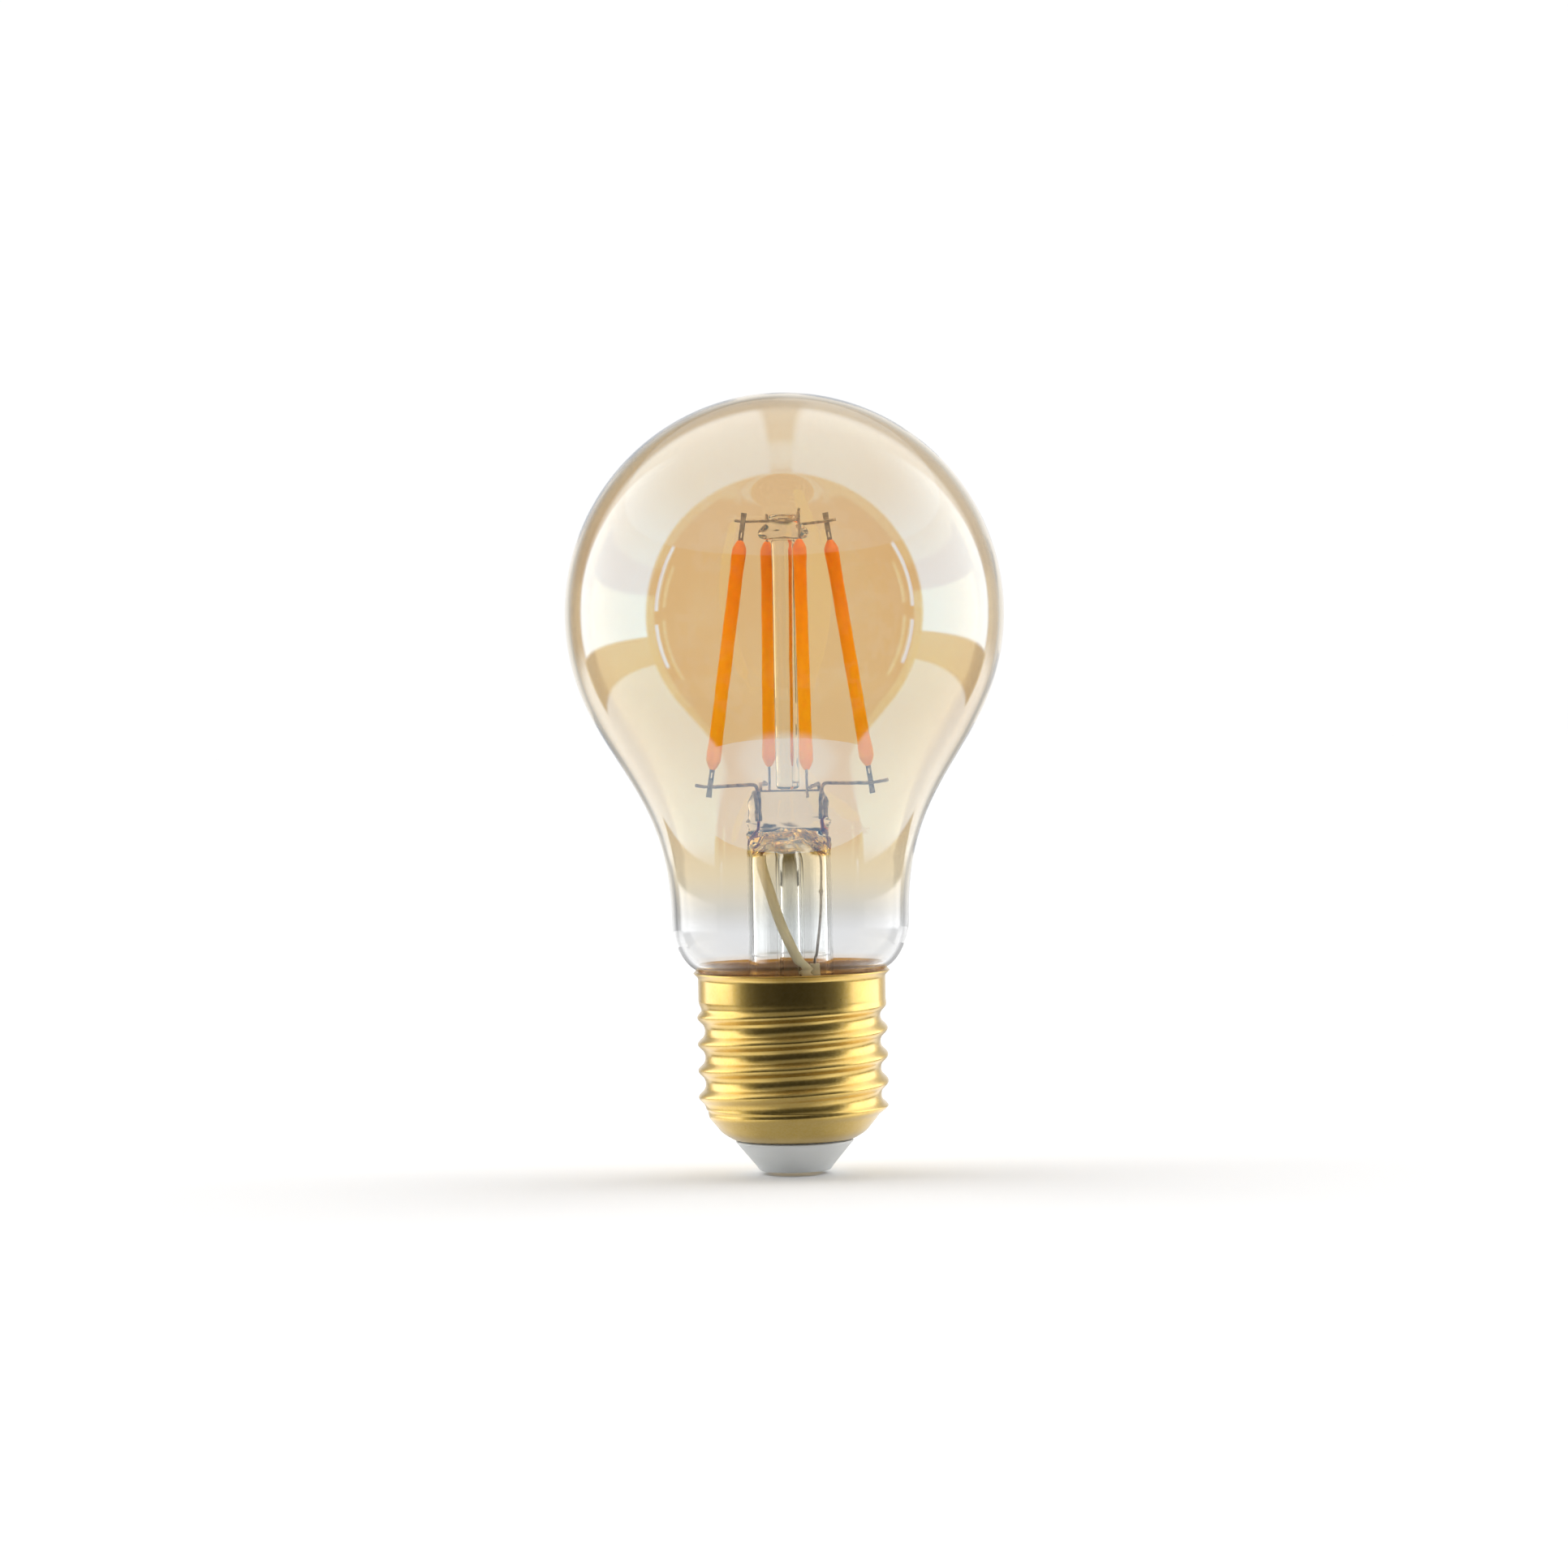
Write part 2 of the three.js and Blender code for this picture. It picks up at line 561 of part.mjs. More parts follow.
add('chip_antenna', box(1.6, 0.7, 3.2, 4.6, 7 - 0.4 - GAP - 0.35, onTop + 2.7), 'ceramic');
add('line_wire', wire(smooth([[0, 0, 5], [0, -0.4, 6.6], [-0.2, -2.4, 9.4], [-0.4, -3.6, 10.4]]), 0.28, 8),
  'copper');
add('neutral_wire', wire(smooth([
  [-8.4, 3.4, below], [-8.5, 3.4, 10.4], [-8.9, 2.8, 8.4], [-9.6, 2.2, 7.5],
]), 0.3, 8), 'copper');

export default lamp;
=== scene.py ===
"""An amber LED filament lamp on an E27 screw cap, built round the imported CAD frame.

Shapes are written in millimetres and scaled to metres when each mesh is made.
"""

import json
import math

import bpy
from mathutils import Matrix, Vector, noise


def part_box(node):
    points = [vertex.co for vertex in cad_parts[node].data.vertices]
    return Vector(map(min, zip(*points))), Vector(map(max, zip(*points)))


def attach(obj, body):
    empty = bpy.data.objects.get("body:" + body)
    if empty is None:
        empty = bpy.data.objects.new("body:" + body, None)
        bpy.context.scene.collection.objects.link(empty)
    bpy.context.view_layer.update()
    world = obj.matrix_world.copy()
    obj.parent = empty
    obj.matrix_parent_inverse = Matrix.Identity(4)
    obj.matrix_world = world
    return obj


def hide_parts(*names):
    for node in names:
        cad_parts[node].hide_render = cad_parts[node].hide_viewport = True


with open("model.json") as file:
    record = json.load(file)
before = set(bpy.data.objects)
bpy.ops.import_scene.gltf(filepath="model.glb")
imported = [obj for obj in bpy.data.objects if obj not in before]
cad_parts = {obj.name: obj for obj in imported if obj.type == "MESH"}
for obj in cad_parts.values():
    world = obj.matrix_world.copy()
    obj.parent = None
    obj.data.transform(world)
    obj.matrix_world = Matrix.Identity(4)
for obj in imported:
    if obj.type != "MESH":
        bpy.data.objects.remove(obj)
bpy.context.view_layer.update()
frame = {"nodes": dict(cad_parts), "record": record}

MM = 0.001


def corner(node, which):
    """The lowest (0) or highest (1) corner of a CAD node, in millimetres."""
    return Vector(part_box(node)[which]) / MM


# ---------- dimensions, in millimetres ----------
BULB_R = corner("glass_bulb", 1).x
CROWN_Z = corner("glass_bulb", 1).z
SEAL_Z = corner("glass_bulb", 0).z
EQUATOR_Z = 76.3
BULB_WALL = 0.7
LEAVE_ANGLE = math.radians(25.3)
WAIST_R, WAIST_Z = 16.23, 34.6
SEAL_R = 11.1

CAP_BOTTOM_Z = corner("cap_shell", 0).z
PITCH = 3.629
CREST_R, ROOT_R = 13.02, 12.03
FIRST_CREST_Z = 21.2
THREAD_BOTTOM_Z, THREAD_TOP_Z = 7.0, 23.6
COLLAR_R, LIP_R, LIP_Z = 12.83, 13.5, 27.3
SHEET = 0.3
SCORE_AT, SCORE_WIDTH, SCORE_DEPTH = 0.95, 0.17, 0.022  # lines the rollers leave beside each crest

FLARE_R, FLARE_WALL = 5.8, 0.9
TUBE_R, TUBE_WALL, TUBE_TIP_Z, TUBE_TOP_Z = 1.9, 0.85, 17.9, 43.9
PRESS_HALF_DEPTH, PRESS_TOP_Z = 2.3, 52.5
SQUEEZE_Z, TAPER_Z = (42.8, 47.3), (50.4, 52.3)  # where the tube turns flat, and narrows at the top
HOLE_Z = 47.1
ROD_R = 1.6
BUTTON_BOTTOM_Z, BUTTON_TOP_Z = 86.4, 89.8

ARM_R, TOP_WIRE_R, OUTER_R, DUMET_R = 0.25, 0.2, 0.19, 0.22
LEAD_LEFT, LEAD_RIGHT = -3.95, 4.45
ARM_Z, WELD_Z = 53.3, 48.3
KNOT_HEIGHT, KNOT_LENGTH = 0.85, 0.009  # of a weld knot, in wire radii and wire lengths,
PINCH_DEPTH, PINCH_LENGTH = 0.25, 0.05  # and of the dent where a wire is welded to a tab
SLEEVE_R, SLEEVE_BORE = 0.68, 0.5

BODY_BOTTOM_Z, BODY_LENGTH, BODY_R, BODY_BULGE = 55.5, 31.0, 0.92, 1.0
TAB_WIDTH, TAB_THICKNESS, TAB_REACH, TAB_INSIDE = 0.7, 0.14, 3.9, 0.8
TOP_WELD, BOTTOM_WELD = 2.7, 2.5  # distance of the welds from the ends of the body
SLOT_WIDTH, SLOT_LOW, SLOT_HIGH = 0.2, -1.22, -0.48  # the slot in a tab
ARRAY = {  # azimuth at the foot and at the head, in degrees, and radius at the foot and at the head
    "right": (13.5, 20, 11.4, 6.8),
    "back": (103.5, 110, 10.9, 6.4),
    "left": (193.5, 200, 10.5, 6.1),
    "front": (283.5, 290, 10.9, 6.4),
}


# ---------- mesh helpers ----------
def bare_object(name, verts, faces):
    """A mesh object from points in millimetres."""
    mesh = bpy.data.meshes.new(name)
    mesh.from_pydata([Vector(v) * MM for v in verts], [], faces)
    obj = bpy.data.objects.new(name, mesh)
    bpy.context.scene.collection.objects.link(obj)
    return obj


def piece(name, verts, faces, slot, nodes, smooth=True):
    """A mesh that rides on the lamp, has its slot's finish and stands for the CAD nodes given."""
    obj = bare_object(name, verts, faces)
    mesh = obj.data
    mesh.validate()
    mesh.polygons.foreach_set("use_smooth", [smooth] * len(mesh.polygons))
    mesh.materials.append(FINISH[slot])
    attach(obj, "root")
    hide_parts(*nodes)
    return obj


def skin(rings, closed=False):
    """Joins rings of points, which may end in single points, into one surface facing out."""
    verts, faces, starts = [], [], []
    for ring in rings:
        starts.append((len(verts), len(ring)))
        verts.extend(ring)
    pairs = list(zip(starts, starts[1:]))
    if closed:
        pairs.append((starts[-1], starts[0]))
    for (a, count_a), (b, count_b) in pairs:
        for i in range(max(count_a, count_b)):
            j = (i + 1) % max(count_a, count_b)
            if count_a == 1:
                faces.append((a, b + j, b + i))
            elif count_b == 1:
                faces.append((a + i, a + j, b))
            else:
                faces.append((a + i, a + j, b + j, b + i))
    return verts, faces


def circle(radius, z, count, wobble=None):
    """A ring of points about +Z; wobble gives a change of radius at each azimuth and height."""
    if radius == 0:
        return [(0, 0, z)]
    points = []
    for i in range(count):
        t = 2 * math.pi * i / count
        r = radius + (wobble(t, z) if wobble else 0)
        points.append((r * math.cos(t), r * math.sin(t), z))
    return points


def lathe(profile, count, wobble=None, closed=False):
    """A solid of revolution about +Z from [radius, height] pairs, which run up the outside."""
    return skin([circle(r, z, count, wobble) for r, z in profile], closed)


def sweep(path, radius, sides=14, bore=None):
    """A round wire along a path. radius is a number or a function of the place from 0 to 1."""
    frames = []
    points = [Vector(p) for p in path]
    side = None
    for i, p in enumerate(points):
        ahead = points[min(i + 1, len(points) - 1)] - points[max(i - 1, 0)]
        ahead.normalize()
        if side is None:
            side = ahead.orthogonal().normalized()
        side = (side - ahead * side.dot(ahead)).normalized()
        frames.append((p, side, ahead.cross(side)))
    rings = []
    for i, (p, u, v) in enumerate(frames):
        place = i / (len(frames) - 1)
        r = radius(place) if callable(radius) else radius
        angles = [2 * math.pi * k / sides for k in range(sides)]
        rings.append([p + (u * math.cos(a) + v * math.sin(a)) * r for a in angles])
    if bore is None:
        return skin([[points[0]], *rings, [points[-1]]])
    inner = []
    for ring, p in zip(rings, points):
        inner.append([p + (q - p).normalized() * bore for q in ring])
    return skin([*rings, *inner[::-1]], closed=True)


def bezier(p0, p1, p2, p3, steps):
    """Points of a cubic curve, the first one left out."""
    points = []
    for i in range(1, steps + 1):
        t = i / steps
        weights = ((1 - t) ** 3, 3 * (1 - t) ** 2 * t, 3 * (1 - t) * t * t, t**3)
        points.append(tuple(sum(w * p[k] for w, p in zip(weights, (p0, p1, p2, p3)))
                            for k in range(len(p0))))
    return points


def smooth_path(points, steps=8):
    """A Catmull-Rom curve through all the points."""
    at = [Vector(p) for p in points]
    at = [at[0] * 2 - at[1], *at, at[-1] * 2 - at[-2]]
    out = [at[1]]
    for a, b, c, d in zip(at, at[1:], at[2:], at[3:]):
        for i in range(1, steps + 1):
            t = i / steps
            out.append(0.5 * (2 * b + (c - a) * t + (2 * a - 5 * b + 4 * c - d) * t * t
                              + (3 * b - a - 3 * c + d) * t**3))
    return out


def smooth_profile(points, steps=6):
    """A Catmull-Rom curve through [radius, height] pairs."""
    return [(max(p.x, 0), p.y) for p in smooth_path([(r, z, 0) for r, z in points], steps)]


def bent_path(points, reach, steps=6, spacing=0.5):
    """Straight stretches joined by rounded corners."""
    at = [Vector(p) for p in points]
    out = [at[0]]

    def straight_to(end):
        start = out[-1]
        count = max(1, round((end - start).length / spacing))
        out.extend(start.lerp(end, i / count) for i in range(1, count + 1))

    for before, here, after in zip(at, at[1:], at[2:]):
        enter = here + (before - here).normalized() * reach
        leave = here + (after - here).normalized() * reach
        straight_to(enter)
        for i in range(1, steps + 1):
            t = i / steps
            out.append(enter * (1 - t) ** 2 + here * 2 * t * (1 - t) + leave * t * t)
    straight_to(at[-1])
    return out


def inset(outline, distance):
    """An outline moved inward along its own normals."""
    moved = []
    for i, (r, z) in enumerate(outline):
        r0, z0 = outline[max(i - 1, 0)]
        r1, z1 = outline[min(i + 1, len(outline) - 1)]
        length = math.hypot(r1 - r0, z1 - z0)
        moved.append((max(r - distance * (z1 - z0) / length, 0), z + distance * (r1 - r0) / length))
    return moved


def ramp(x, low, high):
    """0 below low, 1 above high and a smooth step between."""
    t = min(max((x - low) / (high - low), 0), 1)
    return t * t * (3 - 2 * t)


# ---------- node helpers ----------
class Nodes:
    """Short ways to make and join the nodes of one material or world."""

    def __init__(self, tree):
        self.tree = tree

    def add(self, kind, **settings):
        node = self.tree.nodes.new(kind)
        for key, value in settings.items():
            setattr(node, key, value)
        return node

    def put(self, value, socket):
        if isinstance(value, bpy.types.NodeSocket):
            self.tree.links.new(value, socket)
        elif isinstance(value, tuple) and len(value) == 3 and socket.type == "RGBA":
            socket.default_value = (*value, 1)
        else:
            socket.default_value = value

    def math(self, operation, a, b=0.0):
        node = self.add("ShaderNodeMath", operation=operation)
        self.put(a, node.inputs[0])
        self.put(b, node.inputs[1])
        return node.outputs[0]

    def step(self, value, low, high, start=0.0, end=1.0):
        """A smooth step from start, below low, to end, above high."""
        node = self.add("ShaderNodeMapRange", interpolation_type="SMOOTHSTEP")
        for name, given in zip(("Value", "From Min", "From Max", "To Min", "To Max"),
                               (value, low, high, start, end)):
            self.put(given, node.inputs[name])
        return node.outputs[0]

    def times(self, *factors):
        product = factors[0]
        for factor in factors[1:]:
            product = self.math("MULTIPLY", product, factor)
        return product

    def between(self, angle, low, high, soft=0.5):
        """1 where an angle lies between low and high, which are in degrees."""
        deg = math.radians
        return self.times(self.step(angle, deg(low - soft), deg(low + soft)),
                          self.step(angle, deg(high - soft), deg(high + soft), 1, 0))

    def cover(self, level, amount, value):
        """Lets a value replace the level where amount is 1."""
        node = self.add("ShaderNodeMix", data_type="FLOAT")
        for index, given in ((0, amount), (2, level), (3, value)):
            self.put(given, node.inputs[index])
        return node.outputs[0]

    def mix(self, factor, a, b):
        """A colour between a and b."""
        node = self.add("ShaderNodeMix", data_type="RGBA")
        for socket, given in zip((node.inputs[0], node.inputs[6], node.inputs[7]), (factor, a, b)):
            self.put(given, socket)
        return node.outputs[2]

    def place(self, scale=(1, 1, 1)):
        """The point on the object, in its own metres, stretched by scale."""
        coords = self.add("ShaderNodeTexCoord").outputs["Object"]
        if scale == (1, 1, 1):
            return coords
        mapping = self.add("ShaderNodeMapping")
        self.put(coords, mapping.inputs["Vector"])
        mapping.inputs["Scale"].default_value = scale
        return mapping.outputs[0]

    def noise(self, scale, detail=4.0, roughness=0.5, stretch=(1, 1, 1), distortion=0.0):
        node = self.add("ShaderNodeTexNoise")
        self.put(self.place(stretch), node.inputs["Vector"])
        for name, given in (("Scale", scale), ("Detail", detail), ("Roughness", roughness),
                            ("Distortion", distortion)):
            node.inputs[name].default_value = given
        return node.outputs["Fac"]

    def height(self):
        """Height above the contact, in metres."""
        split = self.add("ShaderNodeSeparateXYZ")
        self.put(self.place(), split.inputs[0])
        return split.outputs["Z"]

    def bump(self, height, strength, distance):
        node = self.add("ShaderNodeBump")
        node.inputs["Strength"].default_value = strength
        node.inputs["Distance"].default_value = distance
        self.put(height, node.inputs["Height"])
        return node.outputs[0]

    def either(self, factor, first, second):
        """The first shader where factor is 0 and the second where it is 1."""
        node = self.add("ShaderNodeMixShader")
        for socket, given in zip(node.inputs, (factor, first, second)):
            self.put(given, socket)
        return node.outputs[0]


def empty_tree(owner):
    """The node helper of a material or world whose nodes have been cleared."""
    owner.use_nodes = True
    owner.node_tree.nodes.clear()
    return Nodes(owner.node_tree)


def surface(name, **sockets):
    """A material with one Principled shader, returned with its node helper and the shader."""
    material = bpy.data.materials.new(name)
    material.use_nodes = True
    nodes = Nodes(material.node_tree)
    shader = material.node_tree.nodes["Principled BSDF"]
    for key, value in sockets.items():
        nodes.put(value, shader.inputs[key.replace("_", " ").title().replace("Ior", "IOR")])
    return material, nodes, shader


def let_light_through(nodes, shader, tint):
    """Lets lamps shine through glass: shadow rays pass, tinted."""
    clear = nodes.add("ShaderNodeBsdfTransparent")
    nodes.put(tint, clear.inputs["Color"])
    shadow = nodes.add("ShaderNodeLightPath").outputs["Is Shadow Ray"]
    output = next(n for n in nodes.tree.nodes if n.type == "OUTPUT_MATERIAL")
    nodes.put(nodes.either(shadow, shader.outputs[0], clear.outputs[0]), output.inputs["Surface"])


# ---------- materials ----------
AMBER, AMBER_STREAK = (0.863, 0.775, 0.605), (0.85, 0.757, 0.58)
AMBER_PATCH, AMBER_LOW = (0.845, 0.735, 0.55), (0.872, 0.80, 0.66)
CLEAR, NECK_SHADE = (0.875, 0.878, 0.882), (0.79, 0.79, 0.782)
NECK_SHADE_RISE = (33.2, 35.6)  # painted shade: the clear neck is tinted grey between these heights,
COAT_FADE = (33.5, 42.2)  # the coating's colour fades out between these heights,
SHEEN_FADE = (39.8, 47.0)  # and its mirror sheen between these
SEAL_TINT, SEAL_FADE = (0.84, 0.745, 0.66), (LIP_Z + 0.4, LIP_Z + 1.3)  # brown above the cement
LOW_AMBER_Z = (46, 64)  # the amber deepens between these heights
GLASS_IOR, COAT_IOR = 1.5, 2.1
COAT_REFLECTION, CLEAR_REFLECTION = (0.13, 0.52, 1.0), (0.06, 0.06, 0.06)
# the first colour is a painted reflection: gold patches on the crumpled glass of the press,
# standing for the brass cap it mirrors
FOLD_GOLD_REFLECTION, FOLD_LOW_Z, FOLD_HIGH_Z = (0.74, 0.61, 0.20), 43.9, 46.9


def amber_glass():
    material, nodes, shader = surface("amber_glass", roughness=0.0, transmission_weight=1.0)
    height = nodes.math("DIVIDE", nodes.height(), MM)
    drift = nodes.math("MULTIPLY", nodes.math("SUBTRACT", nodes.noise(60), 0.5), 3.0)
    wavering = nodes.math("ADD", height, drift)
    coated = nodes.step(wavering, *COAT_FADE)
    sheen = nodes.step(wavering, *SHEEN_FADE)
    streaks = nodes.noise(25, stretch=(1, 1, 0.15))
    amber = nodes.mix(nodes.step(streaks, 0.3, 0.7), AMBER, AMBER_STREAK)
    patches = nodes.noise(38, detail=2.0)
    amber = nodes.mix(nodes.step(patches, 0.42, 0.66), amber, AMBER_PATCH)
    amber = nodes.mix(nodes.step(height, *LOW_AMBER_Z), AMBER_LOW, amber)
    # the clear neck is tinted grey higher up, a painted shade
    uncoated = nodes.mix(nodes.step(height, *NECK_SHADE_RISE), CLEAR, NECK_SHADE)
    tinted = nodes.mix(coated, uncoated, amber)
    tinted = nodes.mix(nodes.step(height, *SEAL_FADE, 1, 0), tinted, SEAL_TINT)
    nodes.put(tinted, shader.inputs["Base Color"])
    nodes.put(nodes.mix(sheen, CLEAR_REFLECTION, COAT_REFLECTION), shader.inputs["Specular Tint"])
    nodes.put(nodes.step(sheen, 0, 1, GLASS_IOR, COAT_IOR), shader.inputs["IOR"])
    waves = nodes.noise(45, detail=2.0, stretch=(1, 1, 0.6))
    nodes.put(nodes.bump(waves, 0.15, 0.0006), shader.inputs["Normal"])
    let_light_through(nodes, shader, (0.93, 0.86, 0.72))
    return material


def clear_glass():
    material, nodes, shader = surface("clear_glass", roughness=0.0, ior=GLASS_IOR,
                                      transmission_weight=1.0)
    tint = nodes.mix(nodes.noise(120), (0.97, 0.985, 0.98), (0.99, 0.995, 0.99))
    height = nodes.math("DIVIDE", nodes.height(), MM)
    # painted reflection: gold patches on the crumpled band, standing for the mirrored brass cap
    gold_glints = nodes.math("MULTIPLY", nodes.step(height, FOLD_LOW_Z - 0.5, FOLD_LOW_Z + 0.5),
                       nodes.step(height, FOLD_HIGH_Z - 0.5, FOLD_HIGH_Z + 0.5, 1, 0))
    ridges = nodes.noise(260, detail=3.0, stretch=(0.5, 1, 1.7), distortion=0.6)
    gold_glints = nodes.math("MULTIPLY", gold_glints, nodes.step(ridges, 0.42, 0.56))
    tint = nodes.mix(gold_glints, tint, FOLD_GOLD_REFLECTION)
    nodes.put(tint, shader.inputs["Base Color"])
    drawn = nodes.noise(700, detail=2.0, stretch=(1, 1, 0.05))
    nodes.put(nodes.bump(drawn, 0.03, 0.0001), shader.inputs["Normal"])
    let_light_through(nodes, shader, (0.95, 0.97, 0.96))
    return material


def phosphor():
    material, nodes, shader = surface("phosphor", specular_ior_level=0.1, subsurface_weight=0.35,
                                      subsurface_scale=0.0006)
    blotch = nodes.noise(900, detail=3.0)
    low = nodes.step(nodes.height(), 0.062, 0.086, 1, 0)
    deep = nodes.mix(low, (0.82, 0.275, 0.001), (1.0, 0.48, 0.002))
    pale = nodes.mix(low, (0.88, 0.305, 0.002), (1.0, 0.52, 0.003))
    colour = nodes.mix(nodes.step(blotch, 0.3, 0.75), deep, pale)
    nodes.put(colour, shader.inputs["Base Color"])
    shader.inputs["Subsurface Radius"].default_value = (1.0, 0.35, 0.05)
    nodes.put(nodes.step(nodes.noise(2500), 0.2, 0.8, 0.38, 0.55), shader.inputs["Roughness"])
    nodes.put(nodes.bump(nodes.noise(1800, detail=3.0), 0.25, 0.0001), shader.inputs["Normal"])
    return material


def mottled(name, dark, light, scale, rough, grain, colour_at=(0.3, 0.7), rough_at=(0.3, 0.7),
            depth=0.00005, metallic=0.0):
    """A finish with one noise for colour and roughness and a finer one for its grain."""
    material, nodes, shader = surface(name, metallic=metallic)
    stain = nodes.noise(scale, detail=5.0)
    nodes.put(nodes.mix(nodes.step(stain, *colour_at), dark, light), shader.inputs["Base Color"])
    nodes.put(nodes.step(stain, *rough_at, *rough), shader.inputs["Roughness"])
    nodes.put(nodes.bump(nodes.noise(grain), 0.2, depth), shader.inputs["Normal"])
    return material


def nickel(name, dark, light):
    return mottled(name, dark, light, 1500, (0.5, 0.34), 4000, metallic=0.55)


def copper_wire():
    return mottled("copper_wire", (0.55, 0.24, 0.13), (0.30, 0.13, 0.08), 900, (0.3, 0.5), 3500,
                   colour_at=(0.35, 0.7), metallic=1.0)


# painted shade: the contact's metal is made dark, standing for the dark reflection along its rim
def darkened_contact():
    return mottled("darkened_contact", (0.34, 0.27, 0.17), (0.48, 0.40, 0.27), 900, (0.45, 0.32),
                   2400, metallic=1.0)


def dull(name, dark, light, scale, roughness):
    """A plain finish for the pieces in the cap."""
    return mottled(name, dark, light, scale, (roughness * 0.85, roughness * 1.1), scale * 3,
                   rough_at=(0.2, 0.8), depth=0.0001)


def brass_cap():
    material, nodes, shader = surface("brass_cap", metallic=1.0, coat_weight=0.6,
                                      coat_roughness=0.14)
    stain = nodes.noise(160, detail=6.0, roughness=0.6)
    grain = nodes.noise(2600, detail=3.0)
    base = nodes.mix(nodes.step(stain, 0.35, 0.7), (0.70, 0.48, 0.12), (0.62, 0.41, 0.09))
    base = nodes.mix(nodes.step(grain, 0.3, 0.7, 0.0, 0.25), base, (0.78, 0.60, 0.24))
    nodes.put(base, shader.inputs["Base Color"])
    roughness = nodes.math("ADD", nodes.step(grain, 0.25, 0.75, 0.27, 0.34),
                           nodes.step(stain, 0.3, 0.8, 0.0, 0.06))
    nodes.put(roughness, shader.inputs["Roughness"])
    pebble = nodes.noise(3200, detail=1.0)
    nodes.put(nodes.bump(pebble, 0.10, 0.00003), shader.inputs["Normal"])
    return material


def insulator():
    material, nodes, shader = surface("insulator", specular_ior_level=0.5)
    cloud = nodes.noise(220, detail=4.0)
    nodes.put(nodes.mix(cloud, (0.66, 0.69, 0.70), (0.74, 0.76, 0.77)), shader.inputs["Base Color"])
    nodes.put(nodes.step(nodes.noise(1200), 0.3, 0.7, 0.32, 0.45), shader.inputs["Roughness"])
    nodes.put(nodes.bump(nodes.noise(2600), 0.08, 0.00005), shader.inputs["Normal"])
    return material


def cement():
    material, nodes, shader = surface("cement", roughness=0.9)
    grit = nodes.noise(1400, detail=6.0, roughness=0.65)
    nodes.put(nodes.mix(nodes.step(grit, 0.3, 0.7), (0.58, 0.42, 0.32), (0.70, 0.54, 0.42)),
              shader.inputs["Base Color"])
    nodes.put(nodes.bump(grit, 0.5, 0.0003), shader.inputs["Normal"])
    return material


def sleeve():
    material, nodes, shader = surface("sleeve", roughness=0.3, transmission_weight=0.35, ior=1.3)
    cloud = nodes.noise(500, detail=4.0, stretch=(1, 1, 0.3))
    nodes.put(nodes.mix(cloud, (0.93, 0.90, 0.78), (0.98, 0.96, 0.89)), shader.inputs["Base Color"])
    weave = nodes.noise(3000, detail=2.0, stretch=(1, 1, 0.2))
    nodes.put(nodes.bump(weave, 0.15, 0.0001), shader.inputs["Normal"])
    return material


FINISH = {
    "amber_glass": amber_glass(),
    "clear_glass": clear_glass(),
    "phosphor": phosphor(),
    "support_wire": nickel("support_wire", (0.36, 0.30, 0.22), (0.62, 0.53, 0.40)),
    "copper_wire": copper_wire(),
    "brass_cap": brass_cap(),
    "insulator": insulator(),
    "cement": cement(),
    "sleeve": sleeve(),
    "substrate": dull("substrate", (0.62, 0.60, 0.52), (0.72, 0.70, 0.63), 1500, 0.55),
    "board": dull("board", (0.012, 0.10, 0.05), (0.02, 0.16, 0.08), 700, 0.4),
    "component": dull("component", (0.012, 0.012, 0.014), (0.03, 0.03, 0.033), 1200, 0.5),
    "component_ceramic": dull("component_ceramic", (0.28, 0.40, 0.50), (0.36, 0.47, 0.56),
                              900, 0.4),
}


# ---------- glass bulb ----------
def bulb_outline():
    """The bulb's outer outline, from the seal in the cap up to the crown."""
    leave = (BULB_R * math.cos(LEAVE_ANGLE), EQUATOR_Z - BULB_R * math.sin(LEAVE_ANGLE))
    down = (-math.sin(LEAVE_ANGLE), -math.cos(LEAVE_ANGLE))
    shoulder_foot = (13.75, 28.25)
    neck = smooth_profile([(SEAL_R, SEAL_Z), (SEAL_R + 0.2, 22.5), (11.75, 25.6), (12.1, 26.85),
                           (12.8, 27.5), shoulder_foot])
    shoulder = bezier(shoulder_foot, (14.8, 29.1), (16.2, 31.5), (16.2, 34), 16)
    pull = 10.1  # length of the curve's handle along the globe's slope
    handle = (leave[0] + pull * down[0], leave[1] + pull * down[1])
    waist = bezier((WAIST_R, WAIST_Z), (WAIST_R, WAIST_Z + 15), handle, leave, 36)
    globe = []
    steps = 72
    for i in range(1, steps + 1):
        angle = -LEAVE_ANGLE + (math.pi / 2 + LEAVE_ANGLE) * i / steps
        rise = CROWN_Z - EQUATOR_Z if angle > 0 else BULB_R
        globe.append((BULB_R * math.cos(angle), EQUATOR_Z + rise * math.sin(angle)))
    globe[-1] = (0, CROWN_Z)
    return [*neck, *shoulder, *waist, *globe]


def glass_bulb():
    """One closed wall of even thickness, open at the seal in the cap."""
    outer = bulb_outline()
    inner = inset(outer, BULB_WALL)
    inner[-1] = (0, CROWN_Z - BULB_WALL)
    verts, faces = lathe([*inner[::-1], *outer], 160)
    piece("bulb_glass", verts, faces, "amber_glass", ["glass_bulb"])


# ---------- stem ----------
def stem_ring(z, half_x, half_y, power, count=96, shift=None):
    """A ring between a circle (power 2) and a flat rounded block (higher powers)."""
    points = []
    for i in range(count):
        t = 2 * math.pi * i / count
        c, s = math.cos(t), math.sin(t)
        x = half_x * math.copysign(abs(c) ** (2 / power), c)
        y = half_y * math.copysign(abs(s) ** (2 / power), s)
        p = Vector((x, y, z))
        points.append(p + shift(p) if shift else p)
    return points


